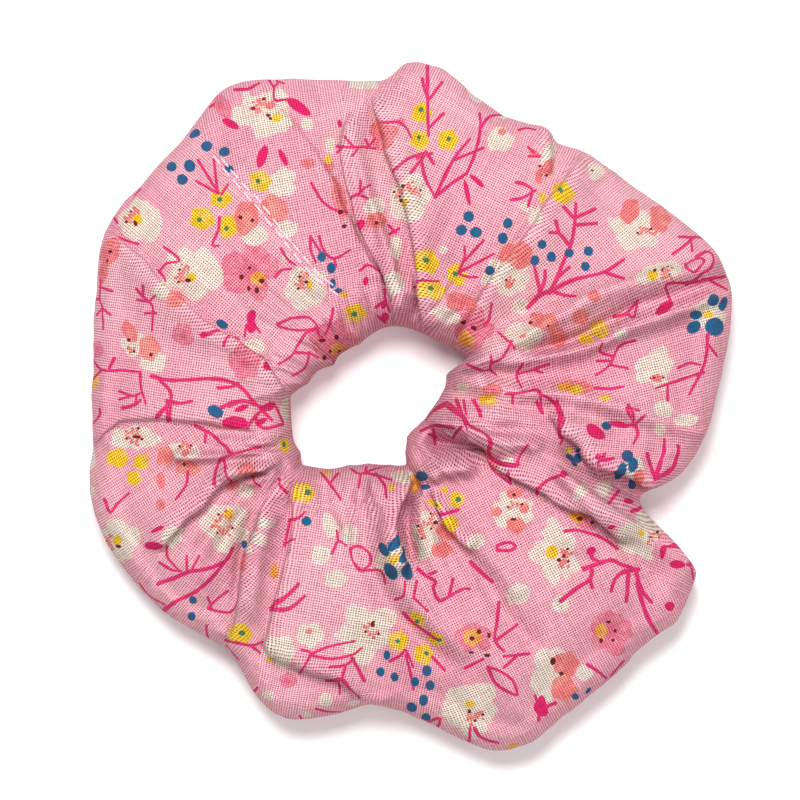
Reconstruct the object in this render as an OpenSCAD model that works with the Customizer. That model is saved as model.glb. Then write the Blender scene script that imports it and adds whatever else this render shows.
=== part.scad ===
// Gathered cloth hair scrunchie on a flat elastic loop.
// A sewn tube of plain-weave cotton is gathered round a ring of flat
// elastic. It lies flat on the XY plane's parallel: +Z is the axis of the
// opening that the hair goes through, and the origin is the centre of that
// opening at mid height. The two cover halves part along X when it stretches.

/* [Opening] */
// Radius of the round opening for the hair
hole_r = 12; // [11:0.5:13]

/* [Cover] */
// Mean outer radius of the gathered cover
ring_r = 54; // [50:1:58]
// Height of the cover's crown above mid height
top_h = 13; // [11:0.5:15]
// Depth of the cover's flat underside below mid height
bottom_h = 11; // [10:0.5:12]
// Wall that stands for the bunched cloth
wall = 3; // [2:0.25:3.5]
// Depth of the gathers
gather_depth = 0.8; // [0:0.1:1.2]
// Gathers round the ring
gather_count = 30; // [18:2:36]
// Gap between the two halves of the cover
split_gap = 0.3; // [0.2:0.1:0.6]

/* [Elastic] */
// Middle radius of the relaxed elastic loop
elastic_r = 22; // [20:0.5:24]
// Width of the flat elastic
elastic_w = 6; // [4:0.5:7]
// Thickness of the flat elastic
elastic_t = 1.2; // [0.8:0.1:1.4]
// Length of the lap where the elastic's ends are joined
lap_len = 12; // [8:1:15]
// Direction of the lap, counterclockwise from +X
lap_dir = 150; // [115:5:160]

/* [Threads] */
// Thickness of the sewing thread
thread_d = 0.4; // [0.3:0.05:0.5]
// Length of one stitch
stitch_len = 2.6; // [2.2:0.1:3.2]
// Distance between the two rows of the closing seam
row_gap = 1.4; // [1:0.1:2]
// Radius of the lengthwise seam inside the tube
seam_r = 26; // [25:0.5:28]

/* [Hidden] */

// How far each lobe of the cover reaches beyond the mean radius, every
// 15 degrees counterclockwise from +X
LOBES = [5, 7.5, 5, 0, -1.5, 0, -1, 0, 1, -2, -3, -6,
         -7.5, -5.5, -4, -5, -5, 1, -3, 5, 8, 7, 6, 2];
// How much the crown rises or falls at the same places
CROWN = [0, 0, -1, -1, 0, -1, -1, 0, 0, 0, -1, 0,
         0, -1, 0, 0, -1, 0, -1, 0, 0, 0, -1, -1];

STEPS = 48;          // stations along one half of the ring
PTS = 12;            // points round the tube's section
SEAM_OUT = [-27, 42];  // outer end of the closing seam
SEAM_IN = [-6, 18];    // inner end of the closing seam

function wrap(i, n) = ((i % n) + n) % n;
// A smooth closed curve through the values of v
function smooth(v, x) =
    let (n = len(v), i = floor(x), t = x - i,
         a = v[wrap(i - 1, n)], b = v[wrap(i, n)],
         c = v[wrap(i + 1, n)], d = v[wrap(i + 2, n)])
    0.5 * (2 * b + (c - a) * t + (2 * a - 5 * b + 4 * c - d) * t * t
           + (3 * b - a - 3 * c + d) * t * t * t);

function gather(a) = gather_depth * cos(gather_count * a);
function outer_r(a) = ring_r + smooth(LOBES, a / 15) + gather(a) / 2;
function crown_z(a) = top_h + smooth(CROWN, a / 15) + gather(a);

// The tube's section at angle a, as [radius, height] points: s is how far it
// is moved in from the outer skin, and first is half the height of its
// upright inner face
function section(a, s, first, next) =
    let (ri = hole_r - 1 + (s > 0 ? s + 1 : 0), ro = outer_r(a) - s,
         w = ro - ri, zt = crown_z(a) - s, zb = bottom_h - s)
    [[ri, first], [ri, -first], [ri + 3, -next],
     [ri + 0.28 * w, -zb], [ri + 0.74 * w, -zb],
     [ri + 0.93 * w, -0.62 * zb], [ro, -0.08 * zb],
     [ri + 0.955 * w, 0.55 * zt], [ri + 0.8 * w, 0.9 * zt],
     [ri + 0.52 * w, zt], [ri + 0.26 * w, 0.88 * zt], [ri + 3, next]];

function skin(a) = section(a, 0, 4, 7.5);
function lining(a) = section(a, wall, 2.5, 5);
function ring_points(a, s) = [for (p = s) [p[0] * cos(a), p[0] * sin(a), p[1]]];

// Half of the hollow tube, from angle a0 to a0 + 180
module half_tube(a0) {
    angles = [for (i = [0 : STEPS]) a0 + 180 * i / STEPS];
    outside = [for (a = angles) each ring_points(a, skin(a))];
    inside = [for (a = angles) each ring_points(a, lining(a))];
    m = len(outside);
    function at(i, j) = i * PTS + (j % PTS);
    walls = [for (i = [0 : STEPS - 1], j = [0 : PTS - 1]) each [
        [at(i, j), at(i, j + 1), at(i + 1, j + 1)],
        [at(i, j), at(i + 1, j + 1), at(i + 1, j)],
        [m + at(i, j), m + at(i + 1, j + 1), m + at(i, j + 1)],
        [m + at(i, j), m + at(i + 1, j), m + at(i + 1, j + 1)]]];
    ends = [for (j = [0 : PTS - 1]) each [
        [at(0, j), m + at(0, j + 1), at(0, j + 1)],
        [at(0, j), m + at(0, j), m + at(0, j + 1)],
        [at(STEPS, j), at(STEPS, j + 1), m + at(STEPS, j + 1)],
        [at(STEPS, j), m + at(STEPS, j + 1), m + at(STEPS, j)]]];
    polyhedron(points = concat(outside, inside), faces = concat(walls, ends), convexity = 8);
}

// A half of the cover, bored for the hair
module cover_half(a0, shift) {
    difference() {
        translate([shift, 0, 0]) half_tube(a0);
        translate([0, 0, -40]) cylinder(r = hole_r, h = 80, $fn = 96);
    }
}

module cover_seam_half() {
    color([0.95, 0.66, 0.78]) cover_half(90, -split_gap / 2);
}

module cover_far_half() {
    color([0.95, 0.66, 0.78]) cover_half(270, split_gap / 2);
}

// The flat elastic: a ring, and the lapped end on its outside
module elastic_band() {
    lap_a = lap_len / elastic_r * 180 / PI;
    color([0.94, 0.93, 0.9]) union() {
        rotate_extrude($fn = 120)
            translate([elastic_r - elastic_t / 2, -elastic_w / 2])
                square([elastic_t, elastic_w]);
        rotate([0, 0, lap_dir - lap_a / 2])
            rotate_extrude(angle = lap_a, $fn = 120)
                translate([elastic_r + elastic_t / 2 - 0.01, -elastic_w / 2])
                    square([elastic_t + 0.01, elastic_w]);
    }
}

// A straight length of thread, with a knuckle a little thicker at its start
module thread_run(p, q) {
    v = q - p;
    translate(p) rotate([0, acos(v[2] / norm(v)), atan2(v[1], v[0])])
        cylinder(d = thread_d, h = norm(v), $fn = 16);
    translate(p) sphere(d = thread_d * 1.25, $fn = 16);
}

// A zigzag of thread that holds the two ends of the elastic together
module elastic_join_stitches() {
    zigs = 6;
    lap_a = (lap_len - 3) / elastic_r * 180 / PI;
    face_r = elastic_r + 1.5 * elastic_t + thread_d / 2 - 0.1;
    back_r = elastic_r - elastic_t / 2 - thread_d / 2 + 0.1;
    function corner(k, r) =
        let (a = lap_dir - lap_a / 2 + lap_a * k / zigs)
        [r * cos(a), r * sin(a), (k % 2 == 0 ? -1 : 1) * elastic_w * 0.3];
    color([0.96, 0.95, 0.93]) union() {
        for (k = [0 : zigs - 1]) thread_run(corner(k, face_r), corner(k + 1, face_r));
        for (k = [0 : zigs]) thread_run(corner(k, back_r), corner(k, face_r));
        translate(corner(zigs, face_r)) sphere(d = thread_d * 1.25, $fn = 16);
    }
}

// The thread of the lengthwise seam, inside the tube near its underside
module lengthwise_seam_thread() {
    color([0.95, 0.72, 0.82])
        translate([0, 0, -(bottom_h - wall) + 0.8])
            rotate_extrude($fn = 120) translate([seam_r, 0]) circle(d = thread_d * 1.5, $fn = 16);
}

// Height of the cover's upper skin over a point of the XY plane
function skin_z(p) =
    let (s = skin(atan2(p[1], p[0])))
    lookup(norm(p), [for (j = [12 : -1 : 7]) s[j % PTS]]);

function cross3(a, b) = [a[1] * b[2] - a[2] * b[1], a[2] * b[0] - a[0] * b[2], a[0] * b[1] - a[1] * b[0]];
function unit(v) = v / norm(v);

// A thread swept along path; side is level and square to the path
module thread_sweep(path, side) {
    n = len(path);
    ring = 8;
    pts = [for (i = [0 : n - 1])
        let (t = unit(path[min(i + 1, n - 1)] - path[max(i - 1, 0)]), up = cross3(t, side))
        for (k = [0 : ring - 1])
            path[i] + thread_d / 2 * (cos(360 * k / ring) * side + sin(360 * k / ring) * up)];
    walls = [for (i = [0 : n - 2], k = [0 : ring - 1])
        let (a = i * ring + k, b = i * ring + (k + 1) % ring)
        each [[a, b, b + ring], [a, b + ring, a + ring]]];
    caps = [[for (k = [ring - 1 : -1 : 0]) k], [for (k = [0 : ring - 1]) (n - 1) * ring + k]];
    polyhedron(points = pts, faces = concat(walls, caps), convexity = 10);
}

// One row of the closing seam: each stitch shows on top and dips at its ends
module topstitch_row(offset) {
    run = SEAM_IN - SEAM_OUT;
    along = run / norm(run);
    across = [-along[1], along[0]];
    stitches = floor(norm(run) / stitch_len);
    function place(s, lift) =
        let (p = SEAM_OUT + along * s + across * offset)
        [p[0], p[1], skin_z(p) + lift];
    path = [for (i = [0 : stitches - 1]) each [
        place((i + 0.08) * stitch_len, -0.35),
        place((i + 0.2) * stitch_len, 0.14),
        place((i + 0.5) * stitch_len, 0.22),
        place((i + 0.8) * stitch_len, 0.14),
        place((i + 0.92) * stitch_len, -0.35)]];
    thread_sweep(path, [across[0], across[1], 0]);
}

module closing_topstitch_row_1() {
    color([0.98, 0.9, 0.93]) topstitch_row(row_gap / 2);
}

module closing_topstitch_row_2() {
    color([0.98, 0.9, 0.93]) topstitch_row(-row_gap / 2);
}

cover_seam_half();
cover_far_half();
elastic_band();
elastic_join_stitches();
lengthwise_seam_thread();
closing_topstitch_row_1();
closing_topstitch_row_2();
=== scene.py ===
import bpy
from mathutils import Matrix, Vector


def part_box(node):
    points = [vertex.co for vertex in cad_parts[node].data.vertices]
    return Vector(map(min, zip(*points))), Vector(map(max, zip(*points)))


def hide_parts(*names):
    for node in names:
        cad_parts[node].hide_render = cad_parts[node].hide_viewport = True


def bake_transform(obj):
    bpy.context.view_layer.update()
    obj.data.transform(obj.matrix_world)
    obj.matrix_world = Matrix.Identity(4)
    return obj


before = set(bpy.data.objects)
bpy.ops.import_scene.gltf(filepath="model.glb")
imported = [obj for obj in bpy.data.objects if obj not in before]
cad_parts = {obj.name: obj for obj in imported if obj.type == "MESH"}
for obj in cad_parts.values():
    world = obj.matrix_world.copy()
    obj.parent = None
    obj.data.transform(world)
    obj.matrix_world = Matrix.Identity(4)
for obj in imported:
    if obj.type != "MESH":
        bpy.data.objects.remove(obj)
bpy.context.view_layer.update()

import math
import bpy
import numpy as np
from mathutils import Vector
from mathutils.bvhtree import BVHTree



def box_mm(*nodes):
    """The lowest and highest corner of some nodes together, in mm."""
    both = [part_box(n) for n in nodes]
    return (np.min([[c for c in b[0]] for b in both], axis=0) * 1000.0,
            np.max([[c for c in b[1]] for b in both], axis=0) * 1000.0)


COVER_LO, COVER_HI = box_mm("cover_seam_half", "cover_far_half")
FLOOR = float(COVER_LO[2])                           # mm, the plane the ring lies on
rng = np.random.default_rng(7)


def mm(p):
    return ((p[0] - CX) * PX, (CY - p[1]) * PX)


def mms(pts):
    return np.array([mm(p) for p in pts], float)


def sstep(x):
    x = np.clip(x, 0.0, 1.0)
    return x * x * (3 - 2 * x)


def smooth_line(pts, n):
    """A Catmull-Rom line through pts, n points to each span."""
    p = np.asarray(pts, float)
    if len(p) < 3 or n < 2:
        return p
    q = np.vstack([2 * p[0] - p[1], p, 2 * p[-1] - p[-2]])
    out = []
    for i in range(1, len(q) - 2):
        a, b, c, d = q[i - 1], q[i], q[i + 1], q[i + 2]
        for t in np.arange(n) / n:
            out.append(0.5 * (2 * b + (c - a) * t + (2 * a - 5 * b + 4 * c - d) * t * t
                              + (3 * b - a - 3 * c + d) * t ** 3))
    out.append(p[-1])
    return np.array(out)


def vnoise(x, y, seed):
    """Smooth value noise, -1 to 1."""
    xi, yi = np.floor(x).astype(np.int64), np.floor(y).astype(np.int64)
    fx, fy = x - xi, y - yi
    fx, fy = fx * fx * (3 - 2 * fx), fy * fy * (3 - 2 * fy)

    def h(i, j):
        n = (i * 374761393 + j * 668265263 + seed * 1442695041) & 0x7FFFFFFF
        n = ((n ^ (n >> 13)) * 1274126177) & 0x7FFFFFFF
        return (n ^ (n >> 16)) % 65536 / 32767.5 - 1.0
    a, b = h(xi, yi), h(xi + 1, yi)
    c, d = h(xi, yi + 1), h(xi + 1, yi + 1)
    return (a * (1 - fx) + b * fx) * (1 - fy) + (c * (1 - fx) + d * fx) * fy


# ---------------------------------------------------------------- the drawing
# The cover is drawn on a flat design plane, seen from above, with y down.
OUTLINE = [(405, 60), (422, 61), (440, 65), (456, 76), (470, 90), (488, 103), (505, 115), (526, 122),
           (545, 125), (552, 130), (556, 141), (568, 145), (582, 149), (609, 166), (636, 186), (664, 206),
           (686, 222), (704, 236), (717, 250), (726, 268), (732, 286), (734, 304), (732, 330), (727, 358),
           (720, 390), (711, 425), (699, 453), (685, 473), (665, 486), (647, 492), (640, 500), (643, 509),
           (653, 520), (668, 535), (690, 560), (699, 569), (698, 578), (690, 600), (680, 622), (660, 636),
           (640, 650), (618, 675), (590, 698), (560, 720), (535, 744), (510, 752), (490, 753), (462, 741),
           (430, 725), (400, 712), (370, 705), (345, 713), (315, 720), (292, 722), (276, 717), (265, 708),
           (252, 692), (240, 670), (232, 655), (222, 647), (195, 633), (165, 615), (140, 590), (120, 565),
           (105, 545), (95, 520), (89, 497), (88, 470), (92, 448), (91, 420), (90, 395), (92, 370), (92, 345),
           (95, 290), (98, 250), (106, 225), (115, 210), (140, 184), (160, 160), (180, 140), (198, 116),
           (215, 93), (230, 84), (245, 79), (266, 78), (290, 77), (320, 78), (350, 79), (380, 80), (392, 74)]
HOLE = [(291, 396), (309, 384), (334, 365), (360, 345), (382, 329), (396, 327), (414, 333), (436, 342),
        (452, 349), (465, 360), (452, 368), (443, 375), (443, 388), (432, 406), (417, 421), (406, 436),
        (404, 452), (406, 463), (390, 461), (368, 460), (349, 462), (326, 467), (303, 464), (303, 450),
        (296, 440), (293, 422), (291, 406)]

# The drawing is laid on the CAD cover: both are as large, side to side and end to
# end taken together, and their middles fall on each other. One unit is PX mm.
_lo, _hi = np.min(OUTLINE, axis=0), np.max(OUTLINE, axis=0)
PX = float(0.5 * ((COVER_HI[0] - COVER_LO[0]) / (_hi[0] - _lo[0])
                  + (COVER_HI[1] - COVER_LO[1]) / (_hi[1] - _lo[1])))
CX = float(0.5 * (_lo[0] + _hi[0]) - 0.5 * (COVER_LO[0] + COVER_HI[0]) / PX)
CY = float(0.5 * (_lo[1] + _hi[1]) + 0.5 * (COVER_LO[1] + COVER_HI[1]) / PX)
# The tube's section: share of the way from the opening to the outline, height
SECTION = [(0.33, -11.0), (0.22, -11.0), (0.11, -10.2), (0.035, -7.8), (0.004, -4.2), (0.0, -0.5),
           (0.012, 3.2), (0.045, 6.6), (0.105, 9.4), (0.20, 11.5), (0.33, 12.7), (0.47, 13.0), (0.61, 12.5),
           (0.74, 11.0), (0.85, 8.4), (0.935, 5.0), (0.985, 1.2), (1.0, -2.6), (0.985, -6.0), (0.94, -9.0),
           (0.86, -10.6), (0.74, -11.0), (0.60, -11.0), (0.46, -11.0), (0.33, -11.0)]
# Crown height every 15 degrees, counterclockwise from +X
CROWN = [12.5, 12, 11.5, 12.5, 13, 12.5, 11.5, 12.5, 13, 13, 12, 12,
         12.5, 11.5, 11.5, 12, 12, 13, 13, 12, 13, 13.5, 12.5, 12]

# Folds. step: pts, height, reach of the high side, lip, high side (L or R of the
# way the points run). bump: pts, height (below 0 is a valley), half width.
STEPS = [
    ([(92, 205), (105, 218), (119, 232), (144, 255), (167, 280), (190, 301), (218, 324), (245, 340),
      (273, 365), (287, 386), (300, 398)], 2.7, 7.0, 1.1, "R"),
    ([(272, 66), (275, 99), (293, 120), (323, 161), (339, 189), (355, 230), (376, 262), (384, 290)],
     1.0, 5.0, 0.4, "R"),
    ([(353, 104), (339, 129), (337, 156), (344, 189), (355, 225), (376, 267), (385, 290), (394, 334)],
     2.4, 5.0, 0.8, "L"),
    ([(364, 95), (376, 136), (385, 168), (394, 189), (403, 221), (408, 255), (412, 290), (420, 336)],
     3.9, 8.0, 1.5, "L"),
    ([(590, 140), (571, 159), (561, 177), (548, 193), (538, 207), (527, 225), (513, 244), (495, 262),
      (479, 290), (472, 303), (465, 319), (456, 335), (450, 352)], 3.1, 8.0, 1.1, "L"),
    ([(548, 120), (551, 133), (557, 156), (561, 177)], 3.1, 5.0, 0.9, "R"),
    ([(540, 415), (548, 425), (557, 439), (571, 448), (580, 467), (600, 478), (619, 485), (635, 494),
      (650, 503)], 4.9, 8.0, 1.8, "L"),
    ([(554, 455), (590, 482), (623, 504), (650, 520)], 2.2, 4.0, 0.6, "R"),
    ([(478, 459), (493, 465), (509, 476), (536, 496), (568, 512), (593, 519), (610, 538), (621, 552)],
     3.4, 5.0, 1.2, "L"),
    ([(424, 488), (430, 502), (437, 520), (451, 538), (472, 558)], 2.8, 5.0, 1.0, "L"),
    ([(413, 462), (413, 487), (402, 515), (400, 529), (406, 552), (413, 572)], 3.9, 7.0, 1.2, "R"),
    ([(80, 462), (94, 448), (110, 430), (121, 423), (149, 421), (172, 422), (209, 425), (232, 429),
      (262, 431)], 1.8, 6.0, 0.5, "L"),
    ([(281, 471), (262, 473), (245, 477), (227, 486), (209, 506), (188, 522), (172, 542), (158, 560)],
     3.2, 5.0, 1.0, "R"),
    ([(288, 462), (282, 476), (264, 496), (254, 519), (245, 547), (238, 572), (232, 607), (228, 632),
      (222, 662)], 2.4, 4.0, 0.9, "L"),
    ([(296, 470), (291, 490), (290, 506), (287, 529), (282, 561), (275, 591), (268, 620), (262, 648)],
     2.2, 7.0, 0.9, "L"),
    ([(255, 640), (264, 656), (275, 662), (300, 673), (323, 682), (351, 697), (374, 712)],
     3.4, 8.0, 1.2, "L"),
    ([(443, 352), (449, 362), (452, 372)], 2.1, 2.5, 0.6, "L"),
]
BUMPS = [
    # right side ridges and the valleys between them
    ([(730, 248), (697, 271), (667, 277), (632, 286), (594, 300), (565, 316), (536, 331), (499, 347),
      (462, 362)], 3.2, 1.7),
    ([(738, 268), (715, 284), (670, 299), (632, 310), (600, 326), (570, 342), (520, 353)], -3.1, 1.0),
    ([(742, 290), (700, 300), (678, 310), (632, 325), (610, 338), (582, 349), (541, 357), (495, 364),
      (447, 371)], 2.7, 1.2),
    ([(480, 376), (517, 376), (560, 374), (600, 364), (650, 345), (700, 322)], -2.2, 2.4),
    ([(445, 378), (465, 383), (508, 388), (527, 392), (564, 392), (610, 404), (655, 420), (715, 436)],
     2.4, 1.5),
    ([(440, 396), (480, 402), (530, 404), (580, 412), (630, 432)], -1.4, 1.4),
    ([(430, 408), (470, 412), (520, 418), (545, 425)], 1.4, 1.4),
    ([(470, 336), (500, 320), (540, 302), (590, 280)], -1.4, 1.3),
    # the twist at the lower right of the opening
    ([(418, 424), (440, 421), (462, 425), (483, 434), (504, 443), (527, 441), (548, 447)], 4.6, 1.3),
    ([(418, 436), (436, 442), (456, 446), (486, 451), (515, 457)], -6.4, 1.4),
    ([(424, 486), (432, 472), (446, 463), (464, 460), (482, 463)], 4.8, 1.5),
    ([(560, 436), (582, 462), (612, 482), (640, 500)], -2.8, 0.9),
    ([(520, 450), (554, 462), (587, 492), (623, 510), (655, 528), (697, 566)], 4.1, 2.8),
    ([(545, 480), (580, 505), (610, 530), (640, 566), (665, 590)], -1.2, 1.6),
    ([(432, 500), (450, 524), (470, 545), (500, 570), (530, 600)], 1.2, 2.2),
    ([(436, 520), (451, 541), (472, 562), (492, 588), (506, 612), (527, 637), (545, 655)], -1.9, 1.7),
    ([(416, 520), (432, 552), (445, 590), (470, 622), (490, 648), (512, 690), (520, 730)], 1.8, 2.6),
    ([(421, 474), (409, 501), (404, 520), (408, 547), (416, 570)], -4.1, 0.9),
    ([(426, 447), (440, 455), (454, 461)], -2.4, 1.6),
    ([(520, 520), (545, 545), (575, 560), (610, 566)], -1.2, 2.2),
    # below the opening
    ([(344, 470), (342, 500), (350, 525), (353, 550)], 1.4, 1.5),
    ([(362, 480), (366, 510), (366, 540), (372, 570), (385, 600), (401, 620), (426, 643), (455, 668)],
     -2.0, 1.7),
    ([(378, 466), (386, 515), (395, 561), (409, 595), (438, 625), (475, 660)], 2.3, 1.8),
    ([(318, 470), (325, 500), (330, 530)], -0.9, 1.2),
    ([(270, 500), (262, 540), (254, 580), (246, 620)], 1.1, 1.4),
    # left
    ([(286, 446), (262, 443), (232, 440), (205, 441)], 1.9, 0.8),
    ([(288, 454), (262, 452), (240, 452), (205, 456), (165, 455)], 3.3, 0.9),
    ([(286, 462), (262, 462), (238, 466), (215, 476)], 2.9, 0.9),
    ([(284, 449), (262, 448), (240, 447)], -3.6, 0.7),
    ([(286, 458), (262, 457), (235, 459)], -3.6, 0.7),
    ([(262, 484), (238, 500), (222, 522), (205, 545), (190, 566)], -2.2, 1.6),
    ([(250, 500), (232, 530), (216, 560), (200, 590)], 1.2, 1.8),
    ([(110, 470), (140, 468), (170, 474), (200, 470)], -0.7, 1.6),
    ([(291, 436), (298, 447), (298, 462)], 1.6, 1.0),
    ([(281, 450), (283, 460), (279, 471)], -3.0, 0.7),
    ([(230, 488), (262, 478), (284, 474)], 1.4, 1.0),
    ([(255, 500), (247, 530), (240, 560), (232, 610)], -1.4, 0.8),
    ([(277, 500), (268, 540), (260, 580), (250, 630)], 1.5, 1.7),
    # the seam's own folds
    ([(227, 136), (252, 166), (283, 203), (312, 237)], 0.6, 0.8),
    ([(203, 138), (229, 172), (264, 211), (300, 256), (322, 279), (346, 297)], -0.5, 0.5),
    ([(196, 145), (222, 179), (257, 218), (293, 263), (316, 287)], 0.4, 0.9),
    ([(320, 80), (328, 110), (332, 150)], -1.4, 2.0),
    ([(300, 290), (318, 300), (336, 318)], -0.8, 1.0),
    ([(352, 118), (358, 150), (372, 200), (388, 250), (398, 300)], 1.2, 1.3),
    ([(348, 150), (360, 196), (380, 256), (392, 306)], -1.1, 0.8),
    ([(366, 180), (380, 225), (396, 275), (404, 320)], 0.9, 0.8),
    ([(205, 262), (240, 300), (268, 332)], -0.7, 3.0),
    ([(478, 84), (486, 104), (500, 130)], -0.8, 1.5),
    ([(300, 360), (280, 352), (258, 338)], -0.5, 1.4),
]
# Where one smooth panel of cloth ends and the grain turns, from the opening out
PANELS = [
    [(447, 371), (495, 361), (541, 354), (582, 347), (632, 322), (678, 308), (731, 292)],
    [(462, 360), (490, 331), (518, 317), (554, 299), (587, 287), (632, 276), (685, 262), (710, 250)],
    [(450, 352), (465, 319), (479, 290), (513, 244), (538, 207), (561, 177), (582, 148)],
    [(418, 326), (412, 290), (403, 221), (394, 189), (376, 136), (364, 95)],
    [(394, 326), (385, 290), (376, 267), (355, 225), (344, 189), (337, 156), (345, 110)],
    [(380, 326), (376, 262), (355, 230), (339, 189), (323, 161), (293, 120), (272, 70)],
    [(345, 331), (322, 279), (300, 256), (264, 211), (229, 172), (200, 132)],
    [(293, 392), (273, 365), (245, 340), (218, 324), (190, 301), (144, 255), (105, 218)],
    [(290, 438), (262, 431), (209, 425), (149, 421), (110, 430), (88, 450)],
    [(300, 458), (277, 473), (245, 477), (209, 506), (172, 542), (130, 585)],
    [(302, 466), (282, 476), (254, 519), (238, 572), (228, 632), (220, 660)],
    [(306, 468), (291, 490), (287, 529), (275, 591), (262, 648), (256, 700)],
    [(411, 466), (402, 515), (406, 552), (425, 600), (440, 660), (440, 730)],
    [(406, 440), (440, 464), (486, 462), (536, 496), (593, 519), (621, 552), (690, 600)],
    [(420, 424), (480, 425), (548, 425), (571, 448), (600, 478), (635, 494), (660, 506)],
    [(440, 390), (508, 388), (564, 392), (610, 404), (655, 420), (725, 436)],
]
SEAM = [(212, 151), (229, 172), (245, 190), (264, 212), (281, 233), (300, 257), (320, 279), (342, 295)]

# ---------------------------------------------------------------- the print
WHITE, ROSE, CORAL, YELLOW, ORANGE = "#EAE4DC", "#E9849F", "#F08688", "#F0CD2C", "#EFA945"
MAGENTA, BLUE, GREEN, BROWN, DEEP = "#E32A74", "#07699A", "#3C8F5E", "#6E2A2A", "#E87B72"

# Large soft-edged shapes: colour, [(x, y, radius x, radius y, turn)]
BLOOMS = {
    WHITE: [(264, 113, 30, 25, 0), (141, 221, 23, 22, 40), (195, 273, 27, 26, 10), (304, 287, 21, 21, 70),
            (282, 183, 13, 17, 30), (255, 236, 13, 11, 0), (287, 229, 10, 9, 0), (376, 207, 11, 10, 0),
            (411, 198, 20, 25, 20), (500, 140, 13, 12, 0), (549, 152, 7, 13, 20), (597, 170, 8, 9, 0),
            (635, 229, 26, 19, 15), (538, 218, 9, 10, 0), (506, 277, 22, 19, 10), (660, 274, 27, 12, -14),
            (525, 334, 19, 15, 10), (654, 369, 20, 19, 0), (663, 409, 9, 10, 0), (686, 420, 10, 8, 0),
            (621, 333, 9, 6, -20), (522, 306, 9, 8, 0), (463, 388, 8, 5, 0), (474, 95, 7, 14, -20),
            (502, 117, 7, 4, 0), (364, 84, 15, 8, 0), (307, 124, 7, 6, 0), (330, 145, 5, 8, 0),
            (396, 285, 9, 11, 0), (397, 248, 7, 13, 0), (134, 343, 14, 13, 0), (153, 361, 14, 11, 20),
            (162, 290, 10, 10, 0), (94, 247, 6, 8, 0), (253, 347, 10, 8, 0), (286, 410, 5, 14, 0),
            (134, 438, 26, 12, 0), (185, 451, 19, 9, 10), (117, 542, 23, 25, 0), (227, 526, 24, 24, 0),
            (172, 535, 10, 14, 30), (93, 460, 5, 10, 0), (92, 492, 5, 7, 0), (268, 520, 9, 6, 20),
            (261, 537, 8, 7, 20), (250, 547, 6, 6, 0), (332, 526, 9, 11, 0), (351, 533, 9, 12, 0),
            (322, 556, 10, 10, 0), (336, 579, 11, 9, 0), (281, 650, 16, 15, 0), (311, 634, 13, 13, 0),
            (366, 632, 30, 27, 20), (326, 700, 7, 6, 0), (353, 703, 8, 4, 0), (269, 695, 6, 5, 0),
            (306, 714, 6, 4, 0), (245, 492, 8, 6, 0), (401, 475, 11, 7, 0), (513, 510, 22, 18, 0),
            (555, 553, 23, 30, 0), (518, 593, 12, 12, 0), (560, 603, 9, 9, 0), (642, 534, 21, 25, 20),
            (549, 672, 18, 27, 10), (473, 708, 29, 27, 0), (585, 673, 8, 8, 0), (424, 533, 14, 27, 0),
            (476, 540, 9, 8, 0), (581, 489, 6, 10, 40), (603, 485, 9, 6, 30), (634, 471, 11, 11, 0),
            (447, 317, 17, 7, 20), (509, 457, 7, 5, 0), (286, 258, 4, 4, 0), (444, 250, 4, 4, 0),
            (527, 207, 6, 5, 0), (700, 470, 9, 7, 0), (452, 430, 9, 4, 10), (660, 430, 7, 6, 0),
            (395, 420, 4, 4, 0), (391, 560, 17, 19, 0), (709, 314, 16, 18, 0)],
    ROSE: [(251, 271, 27, 26, 0), (335, 345, 26, 22, 30), (472, 330, 19, 21, 0), (610, 632, 21, 23, 20),
           (474, 637, 19, 15, 0), (583, 519, 15, 9, 30), (184, 335, 11, 12, 0), (246, 365, 16, 16, 0),
           (98, 349, 8, 9, 0), (222, 106, 8, 13, -20), (288, 681, 9, 8, 0), (400, 120, 5, 5, 0)],
    CORAL: [(383, 133, 14, 17, 0), (108, 254, 9, 14, 10), (103, 272, 6, 13, 10), (338, 198, 7, 22, -12),
            (460, 302, 18, 10, 10), (577, 386, 20, 6, 5), (495, 454, 11, 5, 20), (307, 164, 7, 6, 0),
            (161, 480, 5, 9, 0), (161, 504, 5, 6, 0), (245, 563, 5, 10, 0), (492, 390, 10, 6, 0),
            (328, 166, 5, 9, 0), (232, 486, 8, 5, -20), (252, 466, 9, 7, 0)],
}
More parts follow.
